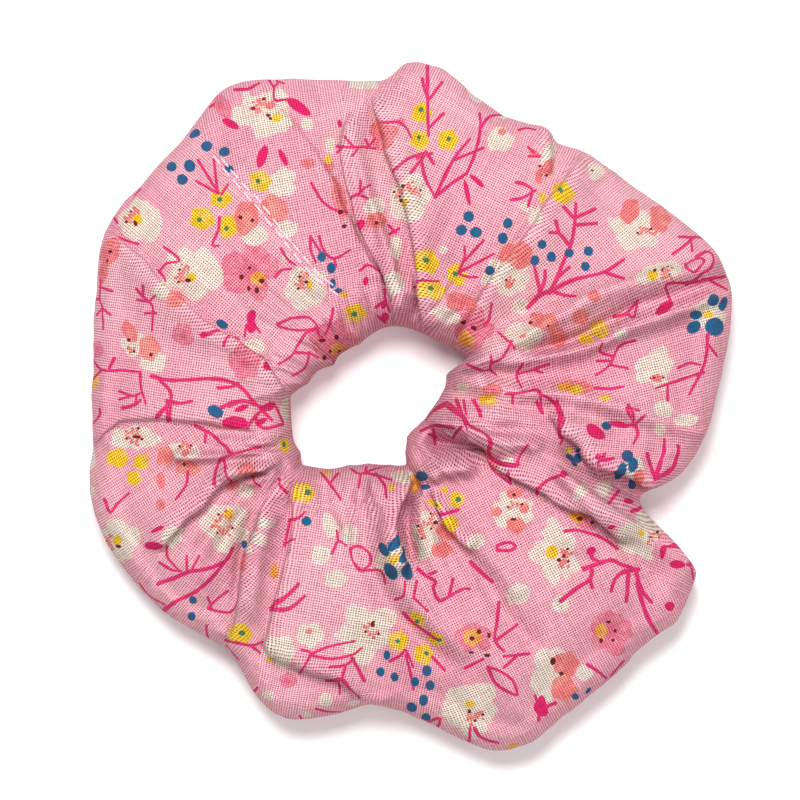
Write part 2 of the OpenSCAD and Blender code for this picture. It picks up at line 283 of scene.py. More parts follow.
# Petals and small flowers on top of them
PETALS = {
    CORAL: [(246, 219, 13, 17, 25), (275, 210, 12, 15, -30), (378, 221, 11, 8, 0), (502, 132, 4, 3, 0),
            (630, 211, 9, 12, 20), (660, 218, 11, 14, 0), (516, 256, 17, 13, 20), (543, 322, 15, 10, 20),
            (558, 338, 10, 9, 0), (580, 318, 9, 7, -20), (594, 298, 7, 6, 0), (656, 378, 6, 4, 0),
            (129, 332, 7, 12, -30), (149, 348, 11, 13, 0), (176, 300, 10, 9, 0), (166, 456, 9, 10, 0),
            (188, 467, 13, 8, 10), (515, 525, 10, 8, 0), (496, 511, 6, 5, 0), (524, 507, 5, 6, 0),
            (514, 493, 8, 5, 0), (566, 664, 13, 13, 0), (564, 688, 12, 13, 0), (447, 532, 13, 8, 25),
            (441, 549, 12, 8, 0), (549, 166, 4, 8, -10), (536, 152, 6, 4, 30), (540, 176, 4, 7, 0),
            (310, 631, 4, 3, 0), (655, 379, 4, 3, 0), (259, 100, 4, 3, 0),
            (269, 104, 5, 4, 0), (257, 111, 4, 3, 0), (187, 452, 4, 4, 0), (521, 336, 4, 3, 0),
             (640, 478, 5, 6, 0), (136, 436, 5, 3, 0), (508, 286, 4, 4, 0)],
    YELLOW: [(221, 199, 11, 9, 0), (202, 219, 12, 11, 10), (229, 227, 10, 12, 30), (260, 182, 11, 11, 0),
             (356, 314, 10, 9, 0), (422, 113, 10, 10, 0), (420, 140, 10, 10, 20), (448, 140, 10, 11, 0),
             (564, 191, 11, 11, 0), (429, 264, 11, 12, 0), (458, 274, 10, 11, 0), (434, 291, 11, 10, 0),
             (240, 635, 11, 10, 0), (306, 491, 9, 9, 0), (398, 641, 10, 10, 0), (424, 654, 10, 10, 0),
             (456, 499, 8, 8, 0), (435, 502, 7, 5, 0), (449, 521, 8, 7, 30), (416, 619, 9, 7, 40),
             (436, 638, 8, 6, 30), (118, 458, 11, 9, 0), (141, 462, 8, 8, 0), (134, 478, 8, 7, 0),
             (96, 380, 5, 10, 20), (600, 329, 9, 8, 0), (586, 339, 7, 5, 0), (488, 400, 10, 6, 0),
             (604, 397, 6, 3, 0), (444, 488, 4, 4, 0), (286, 445, 6, 7, 0), (326, 472, 7, 3, 0),
             (137, 219, 5, 5, 0), (276, 117, 5, 5, 0), (192, 277, 5, 5, 0), (309, 284, 3, 5, 0),
             (408, 203, 5, 4, 0), (654, 278, 6, 6, 0), (118, 540, 5, 5, 0), (228, 515, 6, 5, 0),
             (551, 552, 6, 7, 0), (643, 530, 4, 5, 0), (470, 704, 5, 4, 0), (391, 556, 4, 5, 0),
             (708, 315, 5, 4, 0), (328, 160, 3, 5, 0), (575, 388, 8, 4, 0), (270, 660, 4, 2, 0),
             (391, 486, 3, 3, 0), (543, 197, 4, 6, 0), (570, 447, 4, 3, 0)],
    ORANGE: [(258, 279, 8, 7, 0), (339, 350, 8, 7, 0), (467, 341, 7, 8, 0), (601, 631, 6, 8, 0),
             (472, 636, 9, 9, 0), (576, 518, 8, 5, 20), (565, 386, 9, 4, 0), (414, 483, 6, 9, 0),
             (146, 458, 4, 6, 0), (275, 572, 4, 7, 0), (344, 296, 6, 3, 20), (512, 746, 7, 4, -30)],
}
# Dots, petals and leaves: colour, [(x, y, half length, half width, turn)]
SPOTS = {
    BLUE: [(195, 134, 5.6, 5, -20), (206, 146, 5.6, 5, -20), (224, 152, 5.6, 5.2, 0), (229, 169, 5, 3.4, 30),
           (172, 167, 5.2, 5.2, 0), (189, 166, 5.4, 6, 0), (182, 179, 5.6, 5.4, 0), (321, 257, 4.4, 5, 0),
           (330, 268, 4.2, 5, 0), (332, 283, 3, 5, 0), (339, 292, 5, 3, 10), (222, 324, 6.5, 4, 30),
           (216, 411, 9, 5.4, 25), (469, 217, 5.4, 5.2, 0), (462, 230, 5.4, 5.4, 0), (476, 232, 6, 5.4, 0),
           (508, 223, 5, 5.4, 0), (503, 238, 5, 5.8, 0), (490, 269, 4.6, 4.6, 0), (541, 245, 4.8, 4.8, 0),
           (551, 257, 4.8, 5, 0), (534, 261, 4.8, 5, 0), (569, 253, 4.6, 4.4, 0), (588, 251, 4.6, 4.8, 0),
           (585, 266, 4.4, 4.6, 0), (192, 601, 4, 4.2, 0), (192, 616, 4, 4.4, 0), (308, 522, 5, 4.8, 0),
           (387, 655, 3.4, 4.8, 0), (381, 672, 4.2, 4.8, 0), (395, 677, 4, 4.8, 0), (415, 682, 4, 5, 0),
           (427, 671, 4.8, 5.6, 0), (430, 686, 4.6, 5, 0), (424, 700, 4.6, 5, 0), (412, 707, 5.4, 6, 0),
           (426, 717, 4.6, 5.4, 0), (606, 425, 5, 4.4, 0), (421, 475, 5.4, 5, -20), (405, 447, 2.4, 4, 0),
           (575, 696, 4, 3.4, 40), (588, 690, 2.4, 4, 30), (245, 545, 3, 4, 0), (425, 486, 4, 2.6, 0),
           # flower petals
           (714, 300, 5.6, 6.6, 0), (723, 304, 3.8, 7.4, 20), (697, 314, 6.6, 4.8, 10), (694, 327, 8, 6, -40),
           (714, 327, 9, 9, 0), (390, 540, 4, 8, 12), (382, 547, 5, 7, -30), (399, 555, 4.6, 6.6, 0),
           (390, 570, 5.6, 10.5, -24), (405, 571, 5.6, 9.5, -30), (627, 459, 6, 7.4, 0),
           (618, 474, 5.4, 6, 30), (633, 467, 4.8, 6.4, -20), (632, 484, 4.4, 5, 30), (623, 470, 5, 5, 0),
           (579, 455, 5, 4.4, 20), (571, 454, 5, 3.4, 40), (582, 448, 5.4, 2.2, -10), (574, 459, 4, 2.6, 60)],
    MAGENTA: [(299, 107, 13.5, 5.4, 35), (230, 124, 9.5, 3.8, 30), (262, 158, 11.5, 5, -72),
              (283, 159, 9, 3, 64), (251, 316, 7, 4.6, -80), (251, 325, 5, 7, 0), (267, 370, 4.8, 4.8, 0),
              (666, 306, 10.5, 4, -30), (595, 432, 11.5, 6, 40), (238, 421, 13, 5.6, 0), (269, 407, 8, 4, -24),
              (152, 546, 8, 4, 0), (157, 529, 7.5, 2.4, -28), (129, 579, 7, 2.8, 60), (669, 606, 4.8, 4.8, 0),
              (541, 709, 7.5, 6, 50), (543, 704, 4, 8, 0), (590, 551, 5, 4, -30), (664, 552, 8.5, 3.2, -72),
              (678, 566, 8, 4, -5), (628, 500, 5, 2.2, 20), (564, 472, 4.4, 3.4, 0), (562, 432, 3.4, 4.4, 0),
              (607, 525, 4, 2, 10), (615, 522, 3, 2, 10), (205, 336, 4, 2.6, 10), (339, 124, 2.4, 4, 0),
              (367, 283, 2.6, 4.4, 0), (477, 181, 9, 2.6, 42), (467, 192, 13, 2.4, 78), (212, 106, 4, 2, -30),
              (619, 423, 8, 2.8, 12), (252, 108, 3, 2, 0), (363, 225, 4, 6, 20), (385, 318, 4, 5, 0),
              (384, 305, 3, 5, 20), (263, 421, 6, 3, -30), (243, 408, 8, 3, -20)],
}
# Flower middles and stamens
DOTS = {
    GREEN: [(220, 200, 2.6, 2.6), (200, 220, 2.6, 2.6), (227, 229, 2.4, 2.6), (258, 182, 2.2, 2.4),
            (355, 315, 2.6, 2.6), (421.5, 109.5, 2.6, 2.4), (419, 137.5, 2.2, 2.2), (449, 139, 2.2, 2.4),
            (564, 190, 2.2, 2.2), (427, 263, 2.6, 2.6), (456, 273, 2.4, 2.4), (431.5, 290.5, 2.4, 2.4),
            (242, 635, 2.4, 2.4), (309, 491, 2.6, 2.6), (398, 641, 2.2, 2.2), (427, 653, 2.4, 2.4),
            (458, 499, 2.8, 2.6), (437, 501, 2.4, 1.8), (417, 621, 2, 2), (439, 639, 2.4, 1.8),
            (285, 444, 2, 3)],
    BROWN: [(268, 115, 2.6, 2.2), (270, 118, 2, 2), (189, 280, 3, 2), (306, 282, 2, 1.6), (403, 200, 2.6, 1.8),
            (401, 196, 1.4, 1.4), (241, 218, 2, 2), (253, 221, 1.8, 1.8), (242, 277, 2.4, 2.6),
            (249, 288, 1.8, 2.6), (257, 290, 2.2, 3), (250, 268, 1.6, 1.4), (262, 281, 3, 2.4),
            (323, 341, 3.6, 1.8), (325, 358, 2, 2.6), (337, 338, 2.4, 2.8), (341, 353, 2.4, 2),
            (331, 352, 1.6, 1.6), (463, 323, 2.6, 2), (475, 330, 2, 2), (608, 622, 2.2, 1.6),
            (615, 631, 1.6, 2), (613, 641, 1.6, 1.8), (601, 641, 2, 2.4), (479, 630, 2.2, 2.6),
            (489, 634, 1.8, 2.8), (471, 651, 3, 1.4), (487, 654, 3, 1.8), (472, 637, 2.8, 2.4),
            (591, 523, 2, 1.6), (553, 661, 3, 4), (562, 674, 2.6, 2.2), (513, 519, 3, 1.6),
            (558, 560, 2.4, 2), (563, 556, 1.8, 2), (469, 712, 1.8, 2.6), (128, 340, 2, 1.8),
            (151, 355, 2, 1.8), (179, 300, 1.8, 1.8), (110, 251, 1.6, 1.6), (108, 261, 1.4, 1.8),
            (185, 464, 1.8, 1.8), (119, 546, 3, 2), (136, 437, 4, 1.6), (373, 624, 2.2, 3),
            (656, 272, 1.8, 2.6), (664, 272, 1.4, 2), (530, 321, 2, 1.6), (547, 328, 1.4, 1.4),
            (434, 522, 3, 2), (652, 534, 2.4, 1.6), (514, 494, 2, 1.4), (579, 519, 3, 2.4), (339, 213, 2, 2.4),
            (343, 227, 2.4, 2), (135, 223, 1.8, 2.6), (650, 378, 1.2, 1.2), (593, 168, 1, 1),
            (512, 285, 1, 1), (378, 224, 2, 1.8)],
}

# Stamens: little brush dabs that fan out of a flower's middle. Middle, first and
# last direction (degrees clockwise from +X on the drawing), how many, from, to
FANS = [(138, 221, 165, 285, 6, 5, 13), (191, 277, 150, 265, 6, 5, 15), (309, 284, 150, 265, 6, 5, 14),
        (408, 203, 215, 325, 7, 8, 20), (655, 277, -40, 20, 5, 8, 20), (117, 541, 110, 230, 6, 5, 12),
        (224, 524, 0, 330, 9, 4, 13), (373, 629, 20, 300, 7, 3, 9), (553, 556, -35, 60, 6, 7, 18),
        (645, 532, -20, 70, 5, 6, 15), (470, 708, 20, 110, 6, 6, 17), (424, 528, 110, 250, 6, 4, 13),
        (134, 436, 0, 320, 7, 3, 10), (186, 450, 200, 330, 4, 3, 9), (646, 236, 190, 350, 5, 4, 11),
        (658, 374, 20, 160, 4, 2, 7), (132, 345, 60, 160, 3, 3, 8), (510, 286, 200, 330, 3, 3, 8),
        (550, 166, 90, 200, 4, 3, 10), (516, 512, 200, 320, 4, 5, 12), (436, 520, 120, 240, 4, 4, 12),
        (268, 113, 190, 260, 4, 9, 19)]
for fx, fy, d0, d1, n, r0, r1 in FANS:
    for q in range(n):
        d = math.radians(d0 + (d1 - d0) * (q + 0.5) / n)
        far = r1 * (0.85, 1.0, 0.75)[q % 3]
        reach = (r0 + far) / 2
        PETALS[CORAL].append((fx + reach * math.cos(d), fy + reach * math.sin(d), (far - r0) / 2 + 0.8,
                              1.5, -math.degrees(d)))
        DOTS.setdefault(BROWN if q % 3 == 0 else CORAL, []).append((fx + far * math.cos(d), fy + far * math.sin(d), 1.5, 1.3))
TWIGS = {
    1.0: [
        [(219, 194), (197, 160)], [(218, 193), (213, 159)], [(218, 194), (196, 181)], [(222, 195), (228, 185)],
        [(220, 218), (219, 230), (213, 245), (219, 246)], [(274, 90), (274, 100), (288, 100)],
        [(269, 80), (274, 90)], [(274, 88), (280, 82)], [(277, 81), (284, 84)],
        [(311, 184), (316, 193), (322, 202), (333, 210), (345, 213)],
        [(337, 146), (351, 145), (365, 146), (376, 148)], [(347, 135), (354, 145)], [(337, 152), (346, 145)],
        [(353, 154), (359, 146)], [(375, 138), (368, 147)], [(366, 138), (370, 146)],
        [(385, 119), (397, 120), (406, 127), (411, 137)], [(352, 210), (353, 200), (359, 195), (369, 199)],
        [(359, 195), (365, 189), (372, 185)], [(361, 192), (361, 181)], [(353, 200), (350, 198)],
        [(165, 247), (176, 255), (180, 261), (167, 263), (159, 271)], [(159, 270), (164, 276), (166, 280)],
        [(120, 238), (129, 241), (137, 243)], [(136, 290), (141, 296), (149, 303), (153, 310), (152, 331)],
        [(137, 301), (149, 303)], [(142, 286), (143, 296)], [(155, 296), (149, 303)], [(145, 314), (156, 314)],
        [(101, 280), (101, 290), (100, 300), (103, 308), (104, 329)], [(100, 287), (112, 292)],
        [(94, 301), (101, 299)], [(97, 315), (103, 309)], [(110, 315), (104, 309)],
        [(89, 352), (102, 370), (119, 370), (140, 372)], [(109, 369), (113, 358)], [(91, 384), (102, 371)],
        [(140, 372), (141, 388), (145, 404)], [(119, 391), (133, 396), (140, 393)], [(118, 399), (129, 396)],
        [(122, 407), (134, 404), (136, 394)], [(204, 337), (218, 335), (232, 337), (238, 339)],
        [(226, 347), (229, 341), (235, 338)], [(275, 277), (282, 270), (291, 269)],
        [(281, 249), (287, 259), (295, 265)], [(310, 237), (310, 251), (315, 262)], [(310, 237), (319, 251)],
        [(319, 237), (323, 251), (333, 259), (350, 251)], [(333, 259), (335, 267)],
        [(359, 271), (368, 267), (378, 275), (383, 285)],
        [(277, 324), (293, 318), (310, 319), (318, 329), (300, 332), (280, 327), (277, 324)],
        [(318, 329), (307, 335), (298, 347), (293, 356), (280, 364)], [(318, 329), (319, 335), (323, 338)],
        [(334, 310), (331, 324), (326, 335)], [(295, 353), (310, 354), (319, 358)],
        [(310, 353), (306, 368), (293, 376)], [(376, 308), (385, 303), (390, 313)], [(383, 290), (386, 303)],
        [(378, 317), (385, 324)], [(390, 225), (397, 232)], [(391, 234), (400, 228)], [(246, 324), (244, 335)],
        [(254, 324), (260, 332)], [(114, 218), (118, 223)], [(141, 189), (135, 195)], [(529, 146), (536, 151)],
        [(530, 155), (541, 155)], [(459, 271), (465, 257), (465, 246)], [(465, 260), (484, 240)],
        [(459, 271), (479, 261), (494, 253)], [(460, 273), (470, 276), (478, 276)],
        [(414, 286), (426, 284), (439, 282)], [(672, 253), (685, 244), (695, 237), (708, 241)],
        [(678, 237), (692, 238)], [(690, 239), (690, 251)],
        [(686, 262), (690, 271), (697, 275), (702, 268), (704, 261), (698, 257), (686, 262)],
        [(695, 256), (703, 252), (710, 254), (713, 262), (710, 270), (703, 276), (697, 282), (688, 287)],
        [(726, 276), (708, 280), (692, 285), (669, 287), (672, 301)], [(708, 280), (722, 287), (727, 290)],
        [(614, 316), (627, 313), (639, 302)], [(627, 313), (635, 315), (639, 303)],
        [(707, 335), (706, 356), (701, 372), (690, 394)], [(716, 356), (708, 345)],
        [(678, 368), (690, 363), (701, 365)], [(703, 372), (667, 384), (655, 388)], [(667, 384), (667, 400)],
        [(635, 340), (619, 347), (610, 365), (596, 375)], [(610, 365), (627, 368)],
        [(612, 356), (600, 352), (602, 342)], [(610, 361), (597, 361)], [(491, 306), (490, 315), (483, 325)],
        [(498, 333), (505, 338), (513, 349)], [(509, 340), (502, 356), (490, 365), (492, 372), (499, 377)],
        [(466, 365), (479, 370), (490, 371)], [(490, 365), (489, 356)], [(522, 364), (519, 377), (522, 386)],
        [(519, 376), (536, 368), (549, 364)], [(536, 369), (544, 372)],
        [(506, 393), (522, 391), (538, 388), (541, 397), (545, 411)], [(513, 394), (515, 402)],
        [(538, 391), (554, 400), (561, 411), (564, 434), (561, 441)], [(595, 387), (610, 388), (623, 386)],
        [(627, 404), (633, 414), (633, 427)], [(626, 407), (639, 411)], [(417, 420), (435, 409), (451, 404)],
        [(449, 404), (460, 414), (465, 427)], [(463, 400), (465, 414)], [(471, 400), (479, 411)],
        [(100, 409), (100, 416), (94, 423)], [(188, 471), (186, 485), (176, 499)],
        [(105, 499), (111, 512), (117, 503), (128, 493)], [(167, 547), (168, 558), (179, 570)],
        [(159, 563), (172, 570), (181, 571)], [(187, 556), (187, 570)], [(199, 556), (192, 570)],
        [(140, 583), (149, 595), (165, 604)], [(207, 609), (215, 600), (227, 591)],
        [(207, 609), (218, 612), (229, 612), (236, 604), (240, 594)], [(207, 597), (210, 609)],
        [(192, 641), (209, 639), (220, 653)], [(209, 639), (207, 625)], [(209, 640), (212, 650)],
        [(226, 640), (250, 646), (264, 642)], [(250, 646), (261, 653)], [(227, 646), (238, 658)],
        [(290, 522), (300, 518), (307, 512)], [(285, 545), (297, 539)], [(290, 524), (285, 547)],
        [(280, 478), (288, 492)], [(322, 471), (330, 483), (342, 498)], [(330, 483), (339, 472)],
        [(352, 467), (361, 473), (388, 462)], [(361, 473), (359, 487)], [(367, 464), (365, 473)],
        [(365, 472), (378, 475), (391, 479)], [(376, 473), (385, 485), (386, 495)],
        [(333, 554), (339, 542), (347, 546)], [(339, 542), (338, 532)],
        [(351, 550), (358, 547), (369, 554), (370, 565), (360, 571), (353, 561), (351, 550)],
        [(355, 564), (362, 571), (381, 571), (385, 584)], [(395, 600), (403, 595), (404, 581)],
        [(303, 650), (312, 654), (300, 673)], [(312, 654), (328, 647), (355, 641)],
        [(312, 655), (333, 659), (353, 655), (362, 648)], [(331, 667), (346, 666), (355, 659)],
        [(346, 667), (342, 680), (326, 681)], [(339, 680), (339, 693)], [(316, 708), (328, 711), (342, 712)],
        [(285, 717), (291, 721)], [(300, 715), (303, 720)], [(249, 694), (258, 687)],
        [(390, 661), (401, 655), (406, 650), (413, 667)], [(406, 655), (411, 675), (414, 690)],
        [(393, 713), (398, 710), (403, 719)], [(413, 597), (427, 610)], [(416, 581), (413, 597)],
    ],
    1.2: [
        [(427, 63), (428, 99), (429, 136)], [(422, 80), (428, 99)], [(442, 83), (428, 101)],
        [(444, 113), (429, 129)], [(424, 154), (410, 158), (402, 163), (396, 172)], [(426, 152), (434, 164)],
        [(411, 174), (424, 158)], [(422, 161), (426, 179), (435, 198)], [(418, 159), (432, 154)],
        [(435, 198), (453, 161), (470, 139)], [(453, 161), (483, 148)],
        [(435, 198), (449, 186), (463, 176), (468, 171), (476, 150), (481, 127), (480, 114)],
        [(481, 127), (490, 117), (502, 115)], [(517, 182), (527, 185), (533, 191), (522, 198), (511, 200)],
        [(533, 191), (529, 206)], [(533, 191), (536, 190)], [(519, 131), (527, 129), (534, 131)],
        [(121, 408), (133, 405), (140, 400)], [(156, 414), (165, 407), (170, 400)], [(167, 400), (168, 421)],
        [(229, 406), (245, 401), (264, 407), (271, 403)],
        [(257, 417), (264, 428), (280, 425), (284, 422), (277, 407)], [(250, 425), (257, 416), (264, 409)],
        [(195, 425), (206, 430), (213, 434), (227, 444), (238, 452), (254, 447), (261, 446)],
        [(206, 430), (205, 441)], [(238, 452), (225, 457), (218, 469), (214, 481)],
        [(227, 457), (230, 469), (230, 483)], [(254, 476), (261, 486)], [(424, 418), (435, 407), (447, 402)],
        [(420, 430), (435, 425), (453, 428)], [(433, 429), (435, 444)], [(429, 434), (436, 437)],
        [(453, 436), (460, 426)], [(456, 400), (465, 421), (479, 428), (488, 437), (495, 451), (504, 456)],
        [(474, 400), (479, 416)], [(447, 407), (463, 418)], [(504, 456), (518, 461), (520, 457), (528, 442)],
        [(488, 461), (495, 469), (511, 483)], [(510, 465), (511, 483)],
        [(537, 494), (538, 485), (552, 477), (564, 472)], [(538, 400), (544, 410)], [(635, 424), (645, 416)],
        [(635, 424), (637, 434), (633, 444)], [(626, 409), (633, 421)], [(598, 457), (607, 461), (613, 461)],
        [(600, 461), (605, 456)], [(610, 499), (618, 491)],
        [(665, 546), (676, 546), (685, 552), (690, 565), (693, 579)], [(688, 565), (695, 558), (699, 558)],
        [(564, 531), (575, 530), (587, 533), (600, 538), (616, 549)],
        [(497, 550), (509, 550), (515, 546), (509, 542), (497, 545), (497, 550)],
        [(417, 570), (426, 576), (435, 581), (433, 588), (439, 600), (449, 595), (463, 588), (470, 588)],
        [(453, 578), (449, 595)], [(429, 574), (435, 571)], [(437, 510), (449, 510), (458, 509)],
        [(499, 602), (497, 620), (495, 639), (504, 650)], [(495, 639), (506, 632), (517, 624)],
        [(465, 667), (483, 658)],
        [(488, 666), (495, 682), (509, 692), (518, 695), (513, 680), (499, 670), (488, 666)],
        [(504, 655), (529, 653)], [(504, 667), (518, 653)], [(470, 728), (466, 747)],
        [(474, 728), (481, 737), (498, 742)], [(418, 728), (429, 721), (440, 718), (435, 731), (427, 732)],
        [(403, 613), (414, 623), (437, 639)], [(433, 656), (445, 669)], [(536, 696), (541, 708)],
        [(556, 703), (541, 709)], [(538, 720), (541, 709)], [(588, 665), (598, 671), (606, 678)],
        [(611, 675), (623, 661)], [(633, 508), (642, 504)],
    ],
    1.3: [
        [(152, 376), (167, 380), (188, 380), (209, 379), (227, 381), (241, 388), (254, 400), (264, 411), (273, 420)],
        [(158, 378), (170, 391), (171, 402), (170, 420)], [(171, 402), (181, 403), (192, 401)],
        [(171, 403), (156, 416)], [(218, 388), (229, 387), (238, 384)],
        [(220, 408), (232, 402), (245, 401), (257, 403)], [(235, 90), (248, 90), (259, 84)],
    ],
    1.4: [
        [(529, 306), (541, 294), (552, 290), (571, 280), (587, 276), (605, 271), (623, 259)],
        [(605, 272), (623, 279)], [(552, 290), (564, 294), (575, 296)],
        [(550, 292), (557, 278), (563, 262), (571, 244), (575, 221), (576, 202)], [(564, 206), (574, 218)],
        [(575, 218), (595, 208)], [(576, 225), (596, 223)], [(568, 244), (559, 234), (549, 233)],
        [(559, 234), (556, 221)], [(557, 278), (569, 267)], [(541, 294), (537, 278), (533, 265)],
        [(540, 292), (545, 280), (545, 271)],
    ],
    1.5: [
        [(158, 584), (172, 579), (188, 572), (209, 568), (227, 561), (234, 548)],
        [(157, 616), (172, 604), (190, 595), (211, 579), (227, 561)], [(273, 609), (287, 597), (299, 584)],
        [(273, 610), (291, 608), (306, 596)], [(353, 659), (365, 682)], [(333, 680), (344, 679), (361, 698)],
        [(560, 600), (575, 588), (589, 579), (590, 568), (582, 568)], [(589, 579), (591, 587)],
        [(583, 569), (596, 564), (610, 560), (621, 565), (637, 570)], [(590, 550), (591, 558), (598, 562)],
        [(637, 570), (623, 572), (614, 579), (610, 591)], [(628, 574), (626, 602)],
        [(635, 572), (642, 591), (652, 603)], [(637, 584), (644, 607), (649, 620), (658, 635)],
        [(471, 562), (481, 572), (492, 581)], [(611, 422), (623, 425), (635, 424)],
        [(557, 400), (564, 418), (561, 432)], [(655, 479), (661, 462), (665, 440)], [(655, 479), (647, 455)],
        [(655, 479), (672, 469), (678, 446)],
    ],
}

# ---------------------------------------------------------------- the ring's form
NU = 860
ANG = -math.pi + 2 * math.pi * np.arange(NU) / NU


def polar(pts, blur):
    """Radius at every ring angle of a closed star-shaped outline."""
    p = mms(pts)
    a, r = np.arctan2(p[:, 1], p[:, 0]), np.hypot(p[:, 0], p[:, 1])
    o = np.argsort(a)
    a, r = a[o], r[o]
    a = np.r_[a[-2:] - 2 * math.pi, a, a[:2] + 2 * math.pi]
    r = np.r_[r[-2:], r, r[:2]]
    v = np.interp(ANG, a, r)
    k = np.exp(-0.5 * (np.arange(-12, 13) / max(blur, 1e-3)) ** 2)
    k /= k.sum()
    return np.convolve(np.r_[v[-12:], v, v[:12]], k, "valid")


R_IN, R_OUT = polar(HOLE, 2.0), polar(OUTLINE, 1.3)
WIDE = R_OUT - R_IN
crown_line = smooth_line([(i, c) for i, c in enumerate(CROWN[-2:] + CROWN + CROWN[:3], -2)], 12)
TOP = np.interp((ANG % (2 * math.pi)) / (2 * math.pi) * 24, crown_line[:, 0], crown_line[:, 1])

dense = smooth_line(SECTION, 40)
arc = np.r_[0, np.cumsum(np.hypot(np.diff(dense[:, 0]) * 38, np.diff(dense[:, 1])))]
near_top, near_out = dense[:, 1] > 5.5, dense[:, 0] > 0.8
spacing = np.where(near_top, 0.37, np.where(near_out, 0.5, np.where(dense[:, 0] < 0.09, 0.5, 0.9)))
spacing = np.convolve(np.pad(spacing, 20, "edge"), np.ones(41) / 41, "valid")
count = np.r_[0, np.cumsum(np.diff(arc) / spacing[1:])]
NR = int(count[-1])
at = np.interp(np.linspace(0, count[-1], NR), count, arc)
F = np.interp(at, arc, dense[:, 0])
Z0 = np.interp(at, arc, dense[:, 1])

R = R_IN[None] + F[:, None] * WIDE[None]
Z = np.where(Z0 > 0, Z0, 0)[:, None] / 13 * TOP[None] + np.where(Z0 < 0, Z0, 0)[:, None]
J_TOP, J_RIM, J_IN = int(np.argmax(Z0)), int(np.argmax(F)), int(np.argmin(F))

# The lengthwise seam runs round the underside at one radius, and the cut edges
# of the strip are turned up inside the tube from there.
THREAD_LO, THREAD_HI = box_mm("lengthwise_seam_thread")
SEAM_R = float(THREAD_HI[0]) - 0.3
SEAM_Z = float(THREAD_LO[2] + THREAD_HI[2]) / 2
along = np.minimum(at, at[-1] - at)
pull = np.exp(-(along / 7.0) ** 2)[:, None]
R = R + (SEAM_R - R[0])[None] * pull
side_of_seam = np.where(at < at[-1] / 2, -1.0, 1.0)[:, None]
R = R + 0.10 * side_of_seam * np.exp(-(along / 0.8) ** 2)[:, None]
Z = Z + 0.55 * np.exp(-(along / 0.9) ** 2)[:, None]

# The design plane opened out: radius on top, then down both sides
dr, dz = np.diff(R, axis=0), np.diff(Z, axis=0)
ds = np.hypot(dr, dz)
steep = np.abs(dz) > 1.33 * np.abs(dr)
go = np.where(steep, np.maximum(np.abs(dr), 0.6 * ds), np.abs(dr))
go[J_RIM:] = 0.8 * ds[J_RIM:]
go[:J_TOP] = np.where(steep, np.maximum(np.abs(dr), 0.45 * ds), np.abs(dr))[:J_TOP]
RHO = np.zeros_like(R)
RHO[J_TOP] = R[J_TOP]
RHO[J_TOP + 1:] = R[J_TOP] + np.cumsum(go[J_TOP:], axis=0)
RHO[:J_TOP] = R[J_TOP] - np.cumsum(go[:J_TOP][::-1], axis=0)[::-1]
SLEN = np.r_[np.zeros((1, NU)), np.cumsum(ds, axis=0)]
SLEN = SLEN - SLEN[J_TOP] + R[J_TOP]
RHO = np.maximum(RHO, 0.5)

COS, SIN = np.cos(ANG)[None], np.sin(ANG)[None]
PXY = np.stack([RHO * COS, RHO * SIN], -1)


def unrolled(pts):
    """Points of the drawing, in mm on the opened-out plane."""
    out = []
    for x, y in np.asarray(pts, float).reshape(-1, 2):
        a, r = math.atan2(y, x), math.hypot(x, y)
        i = int(round((a + math.pi) / (2 * math.pi) * NU)) % NU
        rr, qq = R[J_IN:J_RIM + 1, i], RHO[J_IN:J_RIM + 1, i]
        q = np.interp(r, rr, qq)
        q += max(r - rr[-1], 0) - max(rr[0] - r, 0)
        out.append((q * math.cos(a), q * math.sin(a)))
    return np.array(out)


def traced(pts, n=4):
    return unrolled(smooth_line(mms(pts), n))


def to_line(P, line, closed_ends=True):
    """Signed distance (left of the line is above 0), distance along it, its direction, and its length."""
    best = np.full(len(P), 1e9)
    sign = np.ones(len(P))
    run = np.zeros(len(P))
    way = np.zeros((len(P), 2))
    total = 0.0
    for p, q in zip(line[:-1], line[1:]):
        v = q - p
        L = math.hypot(*v)
        if L < 1e-6:
            continue
        t = np.clip(((P - p) @ v) / (L * L), 0, 1)
        w = P - p - t[:, None] * v
        d = np.hypot(w[:, 0], w[:, 1])
        m = d < best
        best[m], run[m], way[m] = d[m], total + t[m] * L, v / L
        sign[m] = np.where(v[0] * w[m, 1] - v[1] * w[m, 0] >= 0, 1.0, -1.0)
        total += L
    return sign * best, run, way, total


flat_P = PXY.reshape(-1, 2)
rise = np.zeros(len(flat_P))
lip_shift = np.zeros((len(flat_P), 2))
for pts, high, reach, lip, side in STEPS:
    line = traced(pts)
    lo, hi = line.min(0) - reach - 3, line.max(0) + reach + 3
    idx = np.where(((flat_P > lo) & (flat_P < hi)).all(1))[0]
    d, run, way, total = to_line(flat_P[idx], line)
    if side == "R":
        d = -d
    wob = 0.25 * vnoise(flat_P[idx, 0] / 3.1, flat_P[idx, 1] / 3.1, 5)
    d = d - lip + wob
    ends = sstep(run / 2.5) * sstep((total - run) / 2.5)
    edge = sstep((d + 0.42) / 0.84)
    back = 1 - sstep(d / reach)
    puff = high * (0.86 * back + 0.14 * np.exp(-((d - 1.0) / 0.9) ** 2))
    rise[idx] += ends * (edge * puff - (1 - edge) * 0.34 * high * np.exp(-(d / 2.2) ** 2))
    out = np.stack([-way[:, 1], way[:, 0]], 1) * (1 if side == "R" else -1)
    lip_shift[idx] += out * (ends * edge * lip * np.exp(-(np.maximum(d, 0) / 1.1) ** 2))[:, None]
for pts, high, half in BUMPS:
    line = traced(pts)
    lo, hi = line.min(0) - 3 * half, line.max(0) + 3 * half
    idx = np.where(((flat_P > lo) & (flat_P < hi)).all(1))[0]
    d, run, way, total = to_line(flat_P[idx], line)
    ends = sstep(run / 3.0) * sstep((total - run) / 3.0)
    rise[idx] += ends * high * np.exp(-(d / half) ** 2)

